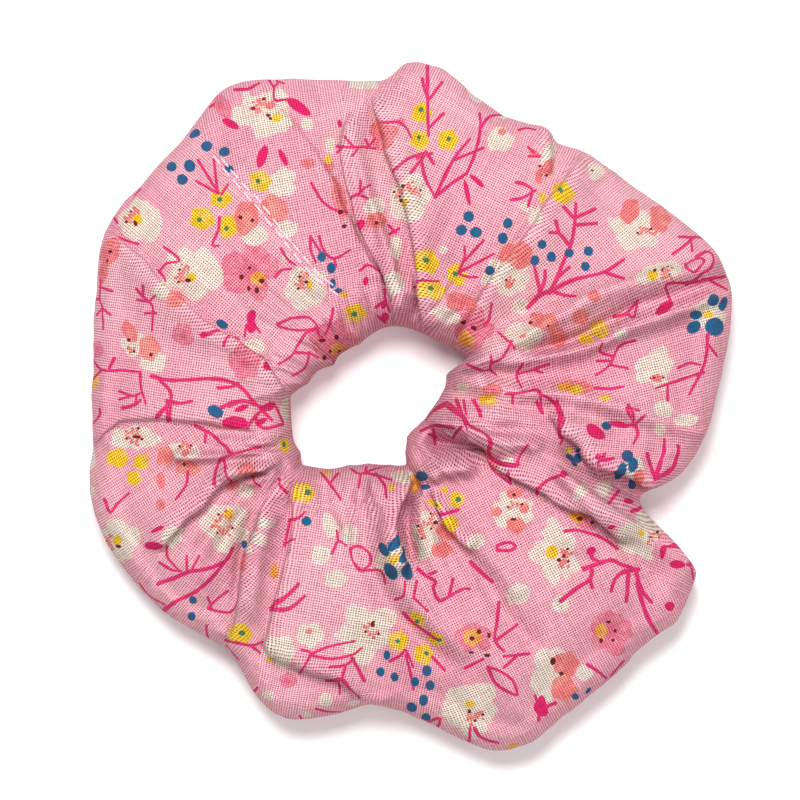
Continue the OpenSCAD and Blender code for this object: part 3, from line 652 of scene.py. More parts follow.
# Gathers: ridges that start at the elastic and fade outwards. How deep they
# are round the opening, every 15 degrees counterclockwise from +X
GATHER = [0.7, 0.8, 1.0, 1.0, 1.2, 1.5, 1.5, 1.2, 1.0, 0.8, 0.8, 0.9,
          0.9, 1.1, 1.6, 1.2, 0.9, 0.8, 0.8, 0.9, 1.1, 1.1, 0.9, 0.7]
rise = rise.reshape(RHO.shape)
from_in = RHO - RHO[J_IN][None] + 3.0
for k in range(64):
    a0 = (k + rng.uniform(-0.35, 0.35)) / 64 * 2 * math.pi
    depth = np.interp(a0 * 24 / (2 * math.pi), range(25), GATHER + GATHER[:1])
    amp = depth * rng.uniform(0.5, 1.3) * (1 if rng.random() < 0.5 else -1.25)
    half = rng.uniform(0.034, 0.072)
    long = rng.uniform(8, 26)
    bend = rng.uniform(-0.006, 0.006)
    da = (ANG[None] - a0 - bend * np.maximum(from_in - 4, 0) + math.pi) % (2 * math.pi) - math.pi
    cols = np.where(np.abs(da).min(0) < 4 * half)[0]
    q = from_in[:, cols]
    rise[:, cols] += amp * np.exp(-(da[:, cols] / (half * (1 + np.maximum(q, 0) / 26))) ** 2) * (
        1 - sstep((q - 2) / long))
x, y = PXY[..., 0], PXY[..., 1]
rad = np.arctan2(y, x)
soft = 0.55 * vnoise(x / 9.0, y / 9.0, 11) + 0.24 * vnoise(x / 4.1 + 7, y / 4.1, 12)
# long soft pulls that run out from the opening
pull_lines = 0.50 * vnoise(rad * 13, RHO / 16, 13) + 0.24 * vnoise(rad * 29, RHO / 11, 14)
rise += soft + pull_lines * (1 - 0.5 * sstep((from_in - 10) / 25))

fade = sstep((Z + 5.0) / 7.0)                 # nothing below the rim
under = (Z0 < -9.0)[:, None] & np.ones((1, NU), bool)
# the upright wall of the opening isn't lifted, so that its edge stays smooth
level = 0.35 + 0.65 * sstep((F[:, None] - 0.012) / 0.08)
Zf = Z + rise * fade * np.where(F[:, None] < 0.4, level, 1.0)
# outer side and inner wall: upright pleats, inwards only
wall_out = (sstep((0.5 - Z) / 5.0) * (F > 0.8)[:, None]) * sstep((Z + 10.9) / 3)
pleat = np.abs(vnoise(rad * 13, Z / 9, 21)) * 1.5 + np.abs(vnoise(rad * 33 + 3, Z / 6, 22)) * 0.6
Rf = R - wall_out * pleat
wall_in = (F < 0.16)[:, None] * sstep((8.0 - Z) / 6) * sstep((Z + 10.9) / 3)
Rf = Rf + wall_in * (0.5 + 0.5 * vnoise(rad * 4, Z / 9, 23)) * 0.7
# underside: shallow gathers that lift off the table
flat_under = sstep((-8.5 - Z) / 2.0)
creases = np.abs(vnoise(rad * 15, R / 15, 31)) ** 1.3 * 2.6 + np.abs(vnoise(rad * 37, R / 9, 32)) * 0.8
Zf = Zf + flat_under * creases * (1 - 0.5 * np.exp(-(along / 3)[:, None] ** 2))
Zf = np.maximum(Zf, FLOOR + 0.12)

X3 = Rf * COS + lip_shift[:, 0].reshape(Rf.shape) * fade * (Z > 2)
Y3 = Rf * SIN + lip_shift[:, 1].reshape(Rf.shape) * fade * (Z > 2)
XYZ = np.stack([X3, Y3, Zf], -1)


def blurred(a, w):
    """Evens the mesh a little, w at a time, in both directions of the grid."""
    b = a.copy()
    b[1:-1] = (1 - w) * a[1:-1] + w * 0.5 * (a[:-2] + a[2:])
    return (1 - w) * b + w * 0.5 * (np.roll(b, 1, 1) + np.roll(b, -1, 1))


XYZ = blurred(blurred(XYZ, 0.5), 0.4)
XYZ[..., 2] = np.maximum(XYZ[..., 2], FLOOR + 0.1)

# Both seam allowances, turned up inside
flap_z = np.array([-3.8, -5.2, -6.6, -8.0, -9.2, -10.0])
wave = 0.5 * vnoise(ANG * 9, ANG * 0, 41)


def flap(side, first):
    rr = SEAM_R + side * (0.12 + 0.16 * np.abs(np.linspace(1, 0, 6)))[:, None] + wave[None] * np.linspace(
        1, 0.1, 6)[:, None]
    zz = flap_z[:, None] + 0.35 * vnoise(ANG * 21, ANG * 0 + side, 42)[None]
    zz = zz + (first - (FLOOR + 0.6))[None] * np.linspace(0, 1, 6)[:, None]
    return np.stack([rr * COS, rr * SIN, zz], -1)


FLAP_A, FLAP_B = flap(-1, XYZ[0, :, 2]), flap(1, XYZ[-1, :, 2])[::-1]
GRID = np.concatenate([FLAP_A, XYZ, FLAP_B], 0)
NF, NV = 6, GRID.shape[0]


# ---------------------------------------------------------------- the cloth is let go
def settled(grid):
    """A coarser copy of the cover is simulated as cloth: the seam, the underside and the gathers at the
    elastic are held, the strip is a few hundredths longer than the form, and its weight and that spare
    length make it sag and crease. The movement is carried back to the full mesh, in mm."""
    nv = grid.shape[0]
    cols = np.arange(0, NU, 4)
    rows = np.unique(np.round(np.linspace(0, nv - 1, 72)).astype(int))
    small = grid[rows][:, cols]
    n_r, n_c = len(rows), len(cols)
    a, b = np.meshgrid(np.arange(n_r - 1), np.arange(n_c), indexing="ij")
    a, b = a.ravel(), b.ravel()
    c = (b + 1) % n_c
    quads = np.stack([a * n_c + b, a * n_c + c, (a + 1) * n_c + c, (a + 1) * n_c + b], 1)
    me = bpy.data.meshes.new("cloth_trial")
    me.from_pydata((small.reshape(-1, 3) * 0.001).tolist(), [], quads.tolist())
    ob = bpy.data.objects.new("cloth_trial", me)
    bpy.context.scene.collection.objects.link(ob)
    top = sstep((small[..., 2] - 3.0) / 5.0)
    reach_ = np.clip((np.hypot(small[..., 0], small[..., 1]) - (R_IN[cols][None] + 3.0)) / 7.0, 0, 1)
    free = (top * sstep(reach_)).ravel()
    held = np.clip(1.0 - free * 0.96, 0.04, 1.0)
    group = ob.vertex_groups.new(name="held")
    level = np.round(held * 24).astype(int)
    for k in np.unique(level):
        group.add(np.where(level == k)[0].tolist(), float(k) / 24, "REPLACE")
    mod = ob.modifiers.new("cloth", "CLOTH")
    s = mod.settings
    s.quality, s.mass, s.air_damping = 8, 0.12, 2.0
    s.tension_stiffness, s.compression_stiffness, s.shear_stiffness, s.bending_stiffness = 18, 14, 6, 0.6
    s.vertex_group_mass, s.pin_stiffness = "held", 0.9
    s.shrink_min = s.shrink_max = -0.035
    mod.collision_settings.use_self_collision = False
    mod.collision_settings.use_collision = False
    last = 16
    mod.point_cache.frame_start, mod.point_cache.frame_end = 1, last
    scene = bpy.context.scene
    for f in range(1, last + 1):
        scene.frame_set(f)
    ev = ob.evaluated_get(bpy.context.evaluated_depsgraph_get())
    co = np.zeros(len(ev.data.vertices) * 3, np.float32)
    ev.data.vertices.foreach_get("co", co)
    move = co.reshape(n_r, n_c, 3).astype(float) * 1000 - small
    scene.frame_set(1)
    bpy.data.objects.remove(ob)
    bpy.data.meshes.remove(me)
    if not np.isfinite(move).all():
        return grid
    size = np.linalg.norm(move, axis=-1, keepdims=True)
    move = move * (1.8 * np.tanh(size / 1.8) / np.maximum(size, 1e-6))
    move[..., :2] *= 0.75
    # back to every row and column
    across = np.stack([[np.interp(np.arange(nv), rows, move[:, j, k]) for j in range(n_c)] for k in range(3)], -1)
    ring = np.r_[cols, NU]
    full = np.zeros_like(grid)
    for k in range(3):
        m = np.vstack([across[:, :, k], across[:1, :, k]])
        t = np.arange(NU) / 4.0
        i0 = np.floor(t).astype(int)
        w = (t - i0)[:, None]
        # smooth between the coarse columns
        w = w * w * (3 - 2 * w) * 0.5 + w * 0.5
        full[..., k] = (m[i0] * (1 - w) + m[np.minimum(i0 + 1, n_c)] * w).T
    full = blurred(blurred(full, 0.6), 0.6)
    print("cloth moved the cover by up to %.2f mm, %.2f mm on average" % (
        np.linalg.norm(full, axis=-1).max(), np.linalg.norm(full, axis=-1).mean()))
    out = grid + full
    out[..., 2] = np.maximum(out[..., 2], FLOOR + 0.1)
    return out


GRID = settled(GRID)

PAD = lambda a: np.concatenate([np.repeat(a[:1], NF, 0), a, np.repeat(a[-1:], NF, 0)], 0)
P_ALL, S_ALL, R_ALL = PAD(PXY), PAD(SLEN), PAD(R)
UNDER = PAD(under)

# ---------------------------------------------------------------- the faces
ii, jj = np.meshgrid(np.arange(NU), np.arange(NV - 1))
ii, jj = ii.ravel(), jj.ravel()
i2 = (ii + 1) % NU
CI = np.stack([ii, i2, i2, ii], 1)
CJ = np.stack([jj, jj, jj + 1, jj + 1], 1)
QUADS = CJ * NU + CI
NFACE = len(ii)
a_corner = ANG[0] + 2 * math.pi * np.stack([ii, ii + 1, ii + 1, ii], 1) / NU
face_under = UNDER[jj, ii]
PC = P_ALL[CJ, CI]
# the underside has its own stretch of the print, turned another way
xy_flat = np.stack([R_ALL * COS, R_ALL * SIN], -1)[CJ, CI]
turn = math.radians(205)
mirrored = np.stack([xy_flat[..., 0] * math.cos(turn) + xy_flat[..., 1] * math.sin(turn) + 3.0,
                     xy_flat[..., 0] * math.sin(turn) - xy_flat[..., 1] * math.cos(turn) - 2.0], -1)
PC = np.where(face_under[:, None, None], mirrored, PC)
PM = PC.mean(1)

CELL = 4.0
bins = {}
keys = np.floor(PM / CELL).astype(int)
order = np.lexsort((keys[:, 1], keys[:, 0]))
cut = np.where(np.any(np.diff(keys[order], axis=0) != 0, axis=1))[0] + 1
for chunk in np.split(order, cut):
    bins[tuple(keys[chunk[0]])] = chunk


def close_to(lo, hi):
    a, b = np.floor(np.array(lo) / CELL).astype(int), np.floor(np.array(hi) / CELL).astype(int)
    got = [bins[(i, j)] for i in range(a[0], b[0] + 1) for j in range(a[1], b[1] + 1) if (i, j) in bins]
    return np.concatenate(got) if got else np.zeros(0, int)


class Layer:
    """For each face, where its corners lie in the nearest motif's own frame."""

    def __init__(self):
        self.best = np.full(NFACE, 1e9)
        self.xyz = np.tile(np.array([9.0, 9.0, 0.0]), (NFACE, 4, 1))

    def ellipse(self, c, rx, ry, turn, code, spin=0.0, reach=1.35):
        code = code + (0.4 if min(rx, ry) > 2.0 else 0.0)
        big = max(rx, ry) * reach + 0.6
        idx = close_to(c - big, c + big)
        if not len(idx):
            return
        cs, sn = math.cos(turn), math.sin(turn)

        def own(p):
            w = p - c
            u = (w[..., 0] * cs + w[..., 1] * sn) / rx
            v = (-w[..., 0] * sn + w[..., 1] * cs) / ry
            return u, v
        u, v = own(PM[idx])
        d = np.hypot(u, v)
        m = (d < self.best[idx]) & (d < reach + 1.2 / min(rx, ry))
        idx = idx[m]
        self.best[idx] = d[m]
        u, v = own(PC[idx])
        cs, sn = math.cos(spin), math.sin(spin)
        self.xyz[idx, :, 0] = u * cs - v * sn
        self.xyz[idx, :, 1] = u * sn + v * cs
        self.xyz[idx, :, 2] = code


bloom, petal, spot, dot = Layer(), Layer(), Layer(), Layer()
twig_best = np.full((NFACE, 2), 1e9)
twig_xyz = np.tile(np.array([99.0, 99.0, 0.0]), (2, NFACE, 4, 1))


def twig_segment(p, q, w):
    v = q - p
    L = math.hypot(*v)
    if L < 1e-4:
        return
    v = v / L
    mid, half = (p + q) / 2, L / 2
    pad = w + 0.9
    idx = close_to(np.minimum(p, q) - pad, np.maximum(p, q) + pad)
    if not len(idx):
        return

    def own(s):
        t = s - mid
        return t[..., 0] * v[0] + t[..., 1] * v[1], -t[..., 0] * v[1] + t[..., 1] * v[0]
    u, n = own(PM[idx])
    d = np.hypot(np.maximum(np.abs(u) - half, 0), n) / w
    m = d < pad / w
    idx, d = idx[m], d[m]
    u, n = own(PC[idx])
    mine = np.stack([u / w, n / w, np.full(u.shape, half / w)], -1)
    first = d < twig_best[idx, 0]
    second = ~first & (d < twig_best[idx, 1])
    k = idx[first]
    twig_best[k, 1], twig_xyz[1, k] = twig_best[k, 0], twig_xyz[0, k]
    twig_best[k, 0], twig_xyz[0, k] = d[first], mine[first]
    k = idx[second]
    twig_best[k, 1], twig_xyz[1, k] = d[second], mine[second]


# every motif as (kind, x, y, rx, ry, turn, code), and every twig as (points, width)
CODE = {WHITE: 0, ROSE: 1, CORAL: 2, YELLOW: 3, ORANGE: 4, BLUE: 5, MAGENTA: 6, GREEN: 7, BROWN: 8}
flowers = []
for kind, tables in (("bloom", BLOOMS), ("petal", PETALS), ("spot", SPOTS)):
    for colour, rows in tables.items():
        for (px, py, rx, ry, deg) in rows:
            # the drawing's y runs down, so its angles turn the other way
            flowers.append((kind, unrolled([mm((px, py))])[0], rx * PX, ry * PX, math.radians(-deg), CODE[colour]))
for colour, rows in DOTS.items():
    for (px, py, rx, ry) in rows:
        flowers.append(("dot", unrolled([mm((px, py))])[0], rx * PX, ry * PX, 0.0, CODE[colour]))
twigs = []
for width, lines in TWIGS.items():
    for line in lines:
        twigs.append((unrolled(smooth_line(mms(line), 3)), 0.235 * width))

# More of the same print for the part that turns down out of sight
rim_rho = RHO[J_RIM]
extra_flowers, extra_twigs = [], []
for k in range(22):
    a = -math.pi + 2 * math.pi * (k + 0.3 * rng.random()) / 22
    i = int((a + math.pi) / (2 * math.pi) * NU) % NU
    target = (rim_rho[i] + 7.5) * np.array([math.cos(a), math.sin(a)])
    src_a = rng.uniform(-math.pi, math.pi)
    source = 36.0 * np.array([math.cos(src_a), math.sin(src_a)])
    t = a - src_a + rng.uniform(-0.6, 0.6)
    M = np.array([[math.cos(t), -math.sin(t)], [math.sin(t), math.cos(t)]])
    for kind, c, rx, ry, deg, code in flowers:
        if math.hypot(*(c - source)) < 5.6:
            c2 = M @ (c - source) + target
            j = int((math.atan2(c2[1], c2[0]) + math.pi) / (2 * math.pi) * NU) % NU
            if math.hypot(*c2) > rim_rho[j] + max(rx, ry) * 0.9:
                extra_flowers.append((kind, c2, rx, ry, deg + t, code))
    for line, w in twigs:
        if np.hypot(*(line - source).T).max() < 8.5:
            l2 = (line - source) @ M.T + target
            j = ((np.arctan2(l2[:, 1], l2[:, 0]) + math.pi) / (2 * math.pi) * NU).astype(int) % NU
            if (np.hypot(*l2.T) > rim_rho[j] + 0.4).all():
                extra_twigs.append((l2, w))
for kind, c, rx, ry, deg, code in flowers + extra_flowers:
    layer = {"bloom": bloom, "petal": petal, "spot": spot, "dot": dot}[kind]
    spin = rng.uniform(0, 6.28) if kind == "bloom" else 0.0
    layer.ellipse(c, rx, ry, deg, code, spin)
for line, w in twigs + extra_twigs:
    n = len(line) - 1
    for s in range(n):
        taper = 1.12 - 0.3 * (s + 0.5) / n
        twig_segment(line[s], line[s + 1], w * taper)

# ---------------------------------------------------------------- the grain of the cloth
PITCH = 0.415
r_mid = np.clip(R_ALL[CJ, CI].mean(1), 9, 62)
a_mid = a_corner.mean(1)
a_mid = (a_mid + math.pi) % (2 * math.pi) - math.pi
bits = np.zeros(NFACE, np.int64)
for k, pts in enumerate(PANELS):
    p = mms(pts)
    rr, aa = np.hypot(p[:, 0], p[:, 1]), np.unwrap(np.arctan2(p[:, 1], p[:, 0]))
    if aa.mean() > math.pi:
        aa = aa - 2 * math.pi
    if aa.mean() < -math.pi:
        aa = aa + 2 * math.pi
    o = np.argsort(rr)
    bits += (a_mid > np.interp(r_mid, rr[o], aa[o])).astype(np.int64) << k
bits[bits == (1 << len(PANELS)) - 1] = 0
bits[face_under] = (1 << 40) + (np.floor((a_mid[face_under] + math.pi) / (2 * math.pi) * 9)).astype(np.int64)
names, panel = np.unique(bits, return_inverse=True)
phi = np.zeros(len(names))
for k in range(len(names)):
    z = np.exp(1j * a_mid[panel == k]).mean()
    phi[k] = math.atan2(z.imag, z.real) + rng.uniform(-0.16, 0.16)
off = a_corner - phi[panel][:, None]
S_C, R_C = S_ALL[CJ, CI], R_ALL[CJ, CI]
weave = np.stack([S_C * np.cos(off) / PITCH, R_C * np.sin(off) / PITCH,
                  np.repeat(rng.uniform(0, 40, len(names))[panel][:, None], 4, 1)], -1)


# ---------------------------------------------------------------- meshes
def new_mesh(name, verts_mm, faces, smooth=True):
    me = bpy.data.meshes.new(name)
    v = np.asarray(verts_mm, np.float32).reshape(-1, 3) * 0.001
    f = np.asarray(faces, np.int32)
    me.vertices.add(len(v))
    me.vertices.foreach_set("co", v.ravel())
    me.loops.add(f.size)
    me.loops.foreach_set("vertex_index", f.ravel())
    me.polygons.add(len(f))
    me.polygons.foreach_set("loop_start", np.arange(0, f.size, f.shape[1], dtype=np.int32))
    me.update(calc_edges=True)
    me.validate()
    if smooth:
        me.polygons.foreach_set("use_smooth", np.ones(len(f), bool))
    ob = bpy.data.objects.new(name, me)
    bpy.context.scene.collection.objects.link(ob)
    return ob


def corner_vectors(ob, name, xyz):
    at = ob.data.attributes.new(name, "FLOAT_VECTOR", "CORNER")
    at.data.foreach_set("vector", np.asarray(xyz, np.float32).ravel())


cover = new_mesh("Cover_cloth", GRID, QUADS)
for name, value in (("bloom", bloom.xyz), ("petal", petal.xyz), ("spot", spot.xyz), ("dot", dot.xyz),
                    ("twig_a", twig_xyz[0]), ("twig_b", twig_xyz[1]), ("grain", weave)):
    corner_vectors(cover, name, value)
uv = cover.data.uv_layers.new(name="OFBake")
half_of = (ii >= NU // 2).astype(float)
along_u = (np.stack([ii, ii + 1, ii + 1, ii], 1) - half_of[:, None] * (NU // 2)) / (NU // 2)
sec_len = np.r_[0, np.cumsum(np.hypot(np.diff(np.hypot(GRID[:, 0, 0], GRID[:, 0, 1])), np.diff(GRID[:, 0, 2])))]
tv = (sec_len / sec_len[-1])[CJ]
UVS = np.stack([0.004 + 0.992 * along_u, (half_of[:, None] + 0.006 + 0.988 * tv) / 2], -1)
uv.data.foreach_set("uv", UVS.astype(np.float32).ravel())


def tube(name, path, radius, sides=8, caps=True, closed=False, twist=None):
    """A round thread along path, in mm, with its own (along, round) coordinates."""
    p = np.asarray(path, float)
    n = len(p)
    rad_ = np.broadcast_to(np.asarray(radius, float), (n,))
    tan = (np.roll(p, -1, 0) - np.roll(p, 1, 0)) if closed else np.gradient(p, axis=0)
    tan /= np.linalg.norm(tan, axis=1)[:, None]
    ref = np.array([0, 0, 1.0])
    s1 = np.cross(tan, ref)
    bad = np.linalg.norm(s1, axis=1) < 1e-3
    s1[bad] = np.cross(tan[bad], [1.0, 0, 0])
    s1 /= np.linalg.norm(s1, axis=1)[:, None]
    s2 = np.cross(s1, tan)
    th = 2 * math.pi * np.arange(sides) / sides
    v = p[:, None] + rad_[:, None, None] * (np.cos(th)[None, :, None] * s1[:, None]
                                             + np.sin(th)[None, :, None] * s2[:, None])
    rows = n if closed else n - 1
    a, b = np.meshgrid(np.arange(rows), np.arange(sides), indexing="ij")
    a, b = a.ravel(), b.ravel()
    c, d = (a + 1) % n, (b + 1) % sides
    q = np.stack([a * sides + b, a * sides + d, c * sides + d, c * sides + b], 1)
    run = np.r_[0, np.cumsum(np.linalg.norm(np.diff(p, axis=0), axis=1))]
    run = np.r_[run, run[-1] + np.linalg.norm(p[0] - p[-1])]
    uvw = np.stack([np.stack([run[a], run[a], run[a + 1], run[a + 1]], 1),
                    np.stack([b, b + 1, b + 1, b], 1) / sides,
                    np.zeros((len(a), 4))], -1)
    return v.reshape(-1, 3), q, uvw


def joined(name, parts):
    vs, qs, ws, base = [], [], [], 0
    for v, q, w in parts:
        vs.append(v), qs.append(q + base), ws.append(w)
        base += len(v)
    ob = new_mesh(name, np.concatenate(vs), np.concatenate(qs))
    corner_vectors(ob, "strand", np.concatenate(ws))
    return ob


# The two rows of stitches that close the tube, laid on the cloth
tree = BVHTree.FromPolygons([tuple(v) for v in GRID.reshape(-1, 3).tolist()], QUADS.tolist())


def on_cloth(x, y):
    hit = tree.ray_cast(Vector((x, y, 60)), Vector((0, 0, -1)))
    return (hit[0].z, hit[1]) if hit[0] is not None else (12.0, Vector((0, 0, 1)))


seam_path = smooth_line(mms(SEAM), 30)
seam_run = np.r_[0, np.cumsum(np.hypot(*np.diff(seam_path, axis=0).T))]
stitch_rows = []
for row, sideways in ((1, -0.42), (2, 0.42)):
    parts, s = [], 0.9 if row == 1 else 2.1
    while s + 1.9 < seam_run[-1]:
        ts = np.linspace(s, s + 1.95, 9)
        cx, cy = np.interp(ts, seam_run, seam_path[:, 0]), np.interp(ts, seam_run, seam_path[:, 1])
        tx, ty = np.gradient(cx), np.gradient(cy)
        L = np.hypot(tx, ty)
        cx, cy = cx - ty / L * sideways, cy + tx / L * sideways
        jx, jy = rng.normal(0, 0.05, 2)
        zs = np.array([on_cloth(a + jx, b + jy)[0] for a, b in zip(cx, cy)])
        lift = 0.17 * np.sin(np.linspace(0, math.pi, 9)) ** 0.6 - 0.10
        rad_ = 0.185 * (0.55 + 0.45 * np.sin(np.linspace(0.1, math.pi - 0.1, 9)) ** 0.5)
        parts.append(tube("s", np.stack([cx + jx, cy + jy, zs + lift], 1), rad_, 8))
        s += 2.6 + rng.normal(0, 0.06)
    stitch_rows.append(joined(f"Closing_topstitch_row_{row}", parts))

# The thread that closes the strip lengthwise, through both turned-in edges
th = np.linspace(0, 2 * math.pi, 1260, endpoint=False)
weave_in = np.tanh(3.2 * np.sin(th * 63))
seam_thread = joined("Lengthwise_seam_thread", [tube("s", np.stack([
    (SEAM_R + 0.62 * weave_in) * np.cos(th), (SEAM_R + 0.62 * weave_in) * np.sin(th),
    SEAM_Z + 0.05 * np.sin(th * 9)], 1), 0.2, 8, closed=True)])

# The flat braided elastic, with its lapped end
BAND_LO, BAND_HI = box_mm("elastic_band")
LAP_LO, LAP_HI = box_mm("elastic_join_stitches")
EW, ET = float(BAND_HI[2] - BAND_LO[2]), 1.2
ER = float(BAND_HI[0]) - ET / 2
LAP, LAP_MID = 12.0 / ER, math.atan2(LAP_LO[1] + LAP_HI[1], LAP_LO[0] + LAP_HI[0])


def band(a0, a1, r0, t, closed, n):
    """A flat band with rounded edges, its cords standing out."""
    aa = np.linspace(a0, a1, n, endpoint=not closed)
    k = 34
    z = np.linspace(-1, 1, k)
    cord_ = 0.09 * np.abs(np.sin(z * math.pi * 4.5))
    ro = t / 2 * (1 - np.abs(z) ** 8 * 0.75) - 0.09 + cord_
    prof = [(r, h * EW / 2) for r, h in zip(ro, z)] + [(-r, h * EW / 2) for r, h in zip(ro[::-1], z[::-1])]
    prof = np.array(prof)
    m = len(prof)
    rr = r0 + prof[None, :, 0] + 0.05 * np.sin(aa * 90)[:, None] * np.sign(prof[None, :, 0])
    v = np.stack([rr * np.cos(aa)[:, None], rr * np.sin(aa)[:, None],
                  np.broadcast_to(prof[None, :, 1], rr.shape)], -1).reshape(-1, 3)
    rows = n if closed else n - 1
    a, b = np.meshgrid(np.arange(rows), np.arange(m), indexing="ij")
    a, b = a.ravel(), b.ravel()
    c, d = (a + 1) % n, (b + 1) % m
    q = np.stack([a * m + b, c * m + b, c * m + d, a * m + d], 1)
    step = (a1 - a0) / (n if closed else n - 1) * r0
    across = np.r_[prof[:, 1], prof[0, 1]]
    uvw = np.stack([np.stack([a, a + 1, a + 1, a], 1) * step,
                    np.stack([across[b], across[b], across[b + 1], across[b + 1]], 1),
                    np.zeros((len(a), 4))], -1)
    parts_v, parts_q, parts_w = [v], [q], [uvw]
    if not closed:
        for row, flip in ((0, False), (n - 1, True)):
            base = row * m
            ends = np.array([[base + i, base + i + 1, base + m - 2 - i, base + m - 1 - i]
                             for i in range(k - 1)])
            if flip:
                ends = ends[:, ::-1]
            parts_q.append(ends)
            parts_w.append(np.zeros((len(ends), 4, 3)))
    return np.concatenate(parts_v), np.concatenate(parts_q), np.concatenate(parts_w)


elastic = joined("Elastic_band", [
    band(0, 2 * math.pi, ER, ET, True, 620),
    band(LAP_MID - LAP / 2, LAP_MID + LAP / 2, ER + ET, ET, False, 60)])

# Zigzag machine stitches across the lap
zz = np.arange(0, 15)
za = LAP_MID - LAP / 2 + LAP * (zz + 1.5) / 17
zig = []
for k in range(14):
    t = np.linspace(0, 1, 9)
    a = za[k] + (za[k + 1] - za[k]) * t
    h = (1.9 if k % 2 else -1.9) * (1 - 2 * t)
    r = ER + ET * 1.5 + 0.10 + 0.10 * np.sin(t * math.pi)
    zig.append(tube("s", np.stack([r * np.cos(a), r * np.sin(a), h], 1), 0.2, 8))
join_thread = joined("Elastic_join_stitches", zig)

# ---------------------------------------------------------------- materials
def srgb(h):
    c = [int(h[i:i + 2], 16) / 255 for i in (1, 3, 5)]
    return tuple(x / 12.92 if x <= 0.04045 else ((x + 0.055) / 1.055) ** 2.4 for x in c) + (1.0,)


class Graph:
    """A short way to write node trees."""

    def __init__(self, name):
        self.mat = bpy.data.materials.new(name)
        self.mat.use_nodes = True
        self.t = self.mat.node_tree
        self.t.nodes.clear()
        self.out = self.t.nodes.new("ShaderNodeOutputMaterial")
        self.bsdf = self.t.nodes.new("ShaderNodeBsdfPrincipled")
        self.t.links.new(self.bsdf.outputs[0], self.out.inputs[0])

    def put(self, sock, value):
        if isinstance(value, bpy.types.NodeSocket):
            self.t.links.new(value, sock)
        elif value is not None:
            sock.default_value = value

    def attr(self, name):
        n = self.t.nodes.new("ShaderNodeAttribute")
        n.attribute_name = name
        return n.outputs["Vector"]

    def xyz(self, v):
        n = self.t.nodes.new("ShaderNodeSeparateXYZ")
        self.put(n.inputs[0], v)
        return n.outputs[0], n.outputs[1], n.outputs[2]

    def vec(self, x=0.0, y=0.0, z=0.0):
        n = self.t.nodes.new("ShaderNodeCombineXYZ")
        for s, v in zip(n.inputs, (x, y, z)):
            self.put(s, v)
        return n.outputs[0]

    def m(self, op, a, b=None, c=None, clamp=False):
        n = self.t.nodes.new("ShaderNodeMath")
        n.operation, n.use_clamp = op, clamp
        for s, v in zip(n.inputs, (a, b, c)):
            self.put(s, v)
        return n.outputs[0]

    def span(self, v, a, b, c=0.0, d=1.0, kind="SMOOTHSTEP"):
        n = self.t.nodes.new("ShaderNodeMapRange")
        n.interpolation_type = kind
        for s, x in zip(n.inputs[:5], (v, a, b, c, d)):
            self.put(s, x)
        return n.outputs[0]

    def noise(self, v, scale, detail=2.0, rough=0.5, distort=0.0):
        n = self.t.nodes.new("ShaderNodeTexNoise")
        self.put(n.inputs["Vector"], v)
        n.inputs["Scale"].default_value = scale
        n.inputs["Detail"].default_value = detail
        n.inputs["Roughness"].default_value = rough
        n.inputs["Distortion"].default_value = distort
        return n.outputs[0]

    def mix(self, f, a, b, kind="MIX"):
        n = self.t.nodes.new("ShaderNodeMix")
        n.data_type, n.blend_type = "RGBA", kind
        self.put(n.inputs[0], f)
        self.put(n.inputs[6], a)
        self.put(n.inputs[7], b)
        return n.outputs[2]

    def codes(self, z, colours):
        """One flat colour for each whole number of z."""
        n = self.t.nodes.new("ShaderNodeValToRGB")
        n.color_ramp.interpolation = "CONSTANT"
        self.put(n.inputs[0], self.m("MULTIPLY", z, 0.1))
        els = n.color_ramp.elements
        while len(els) < len(colours):
            els.new(0.5)
        for k, (code, colour) in enumerate(colours):
            els[k].position = max(0.0, code * 0.1 - 0.05)
            els[k].color = srgb(colour)
        return n.outputs[0]


BASE_PINK = "#F3BDCE"
g = Graph("printed_cotton_lawn")
u, v, seed = g.xyz(g.attr("grain"))
obj_v = g.t.nodes.new("ShaderNodeTexCoord").outputs["Object"]
# threads wander and differ
wob = g.noise(obj_v, 900, 1.0)
wob_v = g.m("MULTIPLY", g.m("SUBTRACT", wob, 0.5), 0.55)
uu, vv = g.m("ADD", u, wob_v), g.m("SUBTRACT", v, wob_v)
su, sv = g.m("SINE", g.m("MULTIPLY", uu, math.pi)), g.m("SINE", g.m("MULTIPLY", vv, math.pi))
A_, B_ = g.m("ABSOLUTE", su), g.m("ABSOLUTE", sv)
over = g.m("MINIMUM", g.m("MAXIMUM", g.m("MULTIPLY", g.m("MULTIPLY", su, sv), 3.0), -1.0), 1.0)
warp = g.m("MULTIPLY", A_, g.m("MULTIPLY_ADD", over, 0.28, 0.72))
weft = g.m("MULTIPLY", B_, g.m("MULTIPLY_ADD", over, -0.28, 0.72))
height = g.m("MAXIMUM", warp, weft)
cell_u, cell_v = g.m("FLOOR", uu), g.m("FLOOR", vv)
is_warp = g.m("GREATER_THAN", warp, weft)
wn = g.t.nodes.new("ShaderNodeTexWhiteNoise")
wn.noise_dimensions = "3D"
warp_id = g.vec(cell_u, seed, g.m("FLOOR", g.m("MULTIPLY", vv, 0.035)))
weft_id = g.vec(seed, cell_v, g.m("FLOOR", g.m("MULTIPLY", uu, 0.035)))
idv = g.t.nodes.new("ShaderNodeMix")
idv.data_type = "VECTOR"
g.put(idv.inputs[0], is_warp), g.put(idv.inputs[4], weft_id), g.put(idv.inputs[5], warp_id)
g.put(wn.inputs["Vector"], idv.outputs[1])
# painted highlight: the crowns of the threads are lightened
painted_crown_highlight = g.m("MULTIPLY_ADD", g.span(height, 0.78, 1.0), 0.13, -0.02)
# each thread's own tone at random, warp threads a little lighter, plus the painted crown highlight
thread_tone_and_painted_highlight = g.m("ADD", g.m("MULTIPLY_ADD", wn.outputs["Value"], 0.28, 0.85),
                   g.m("MULTIPLY_ADD", is_warp, 0.05, painted_crown_highlight))
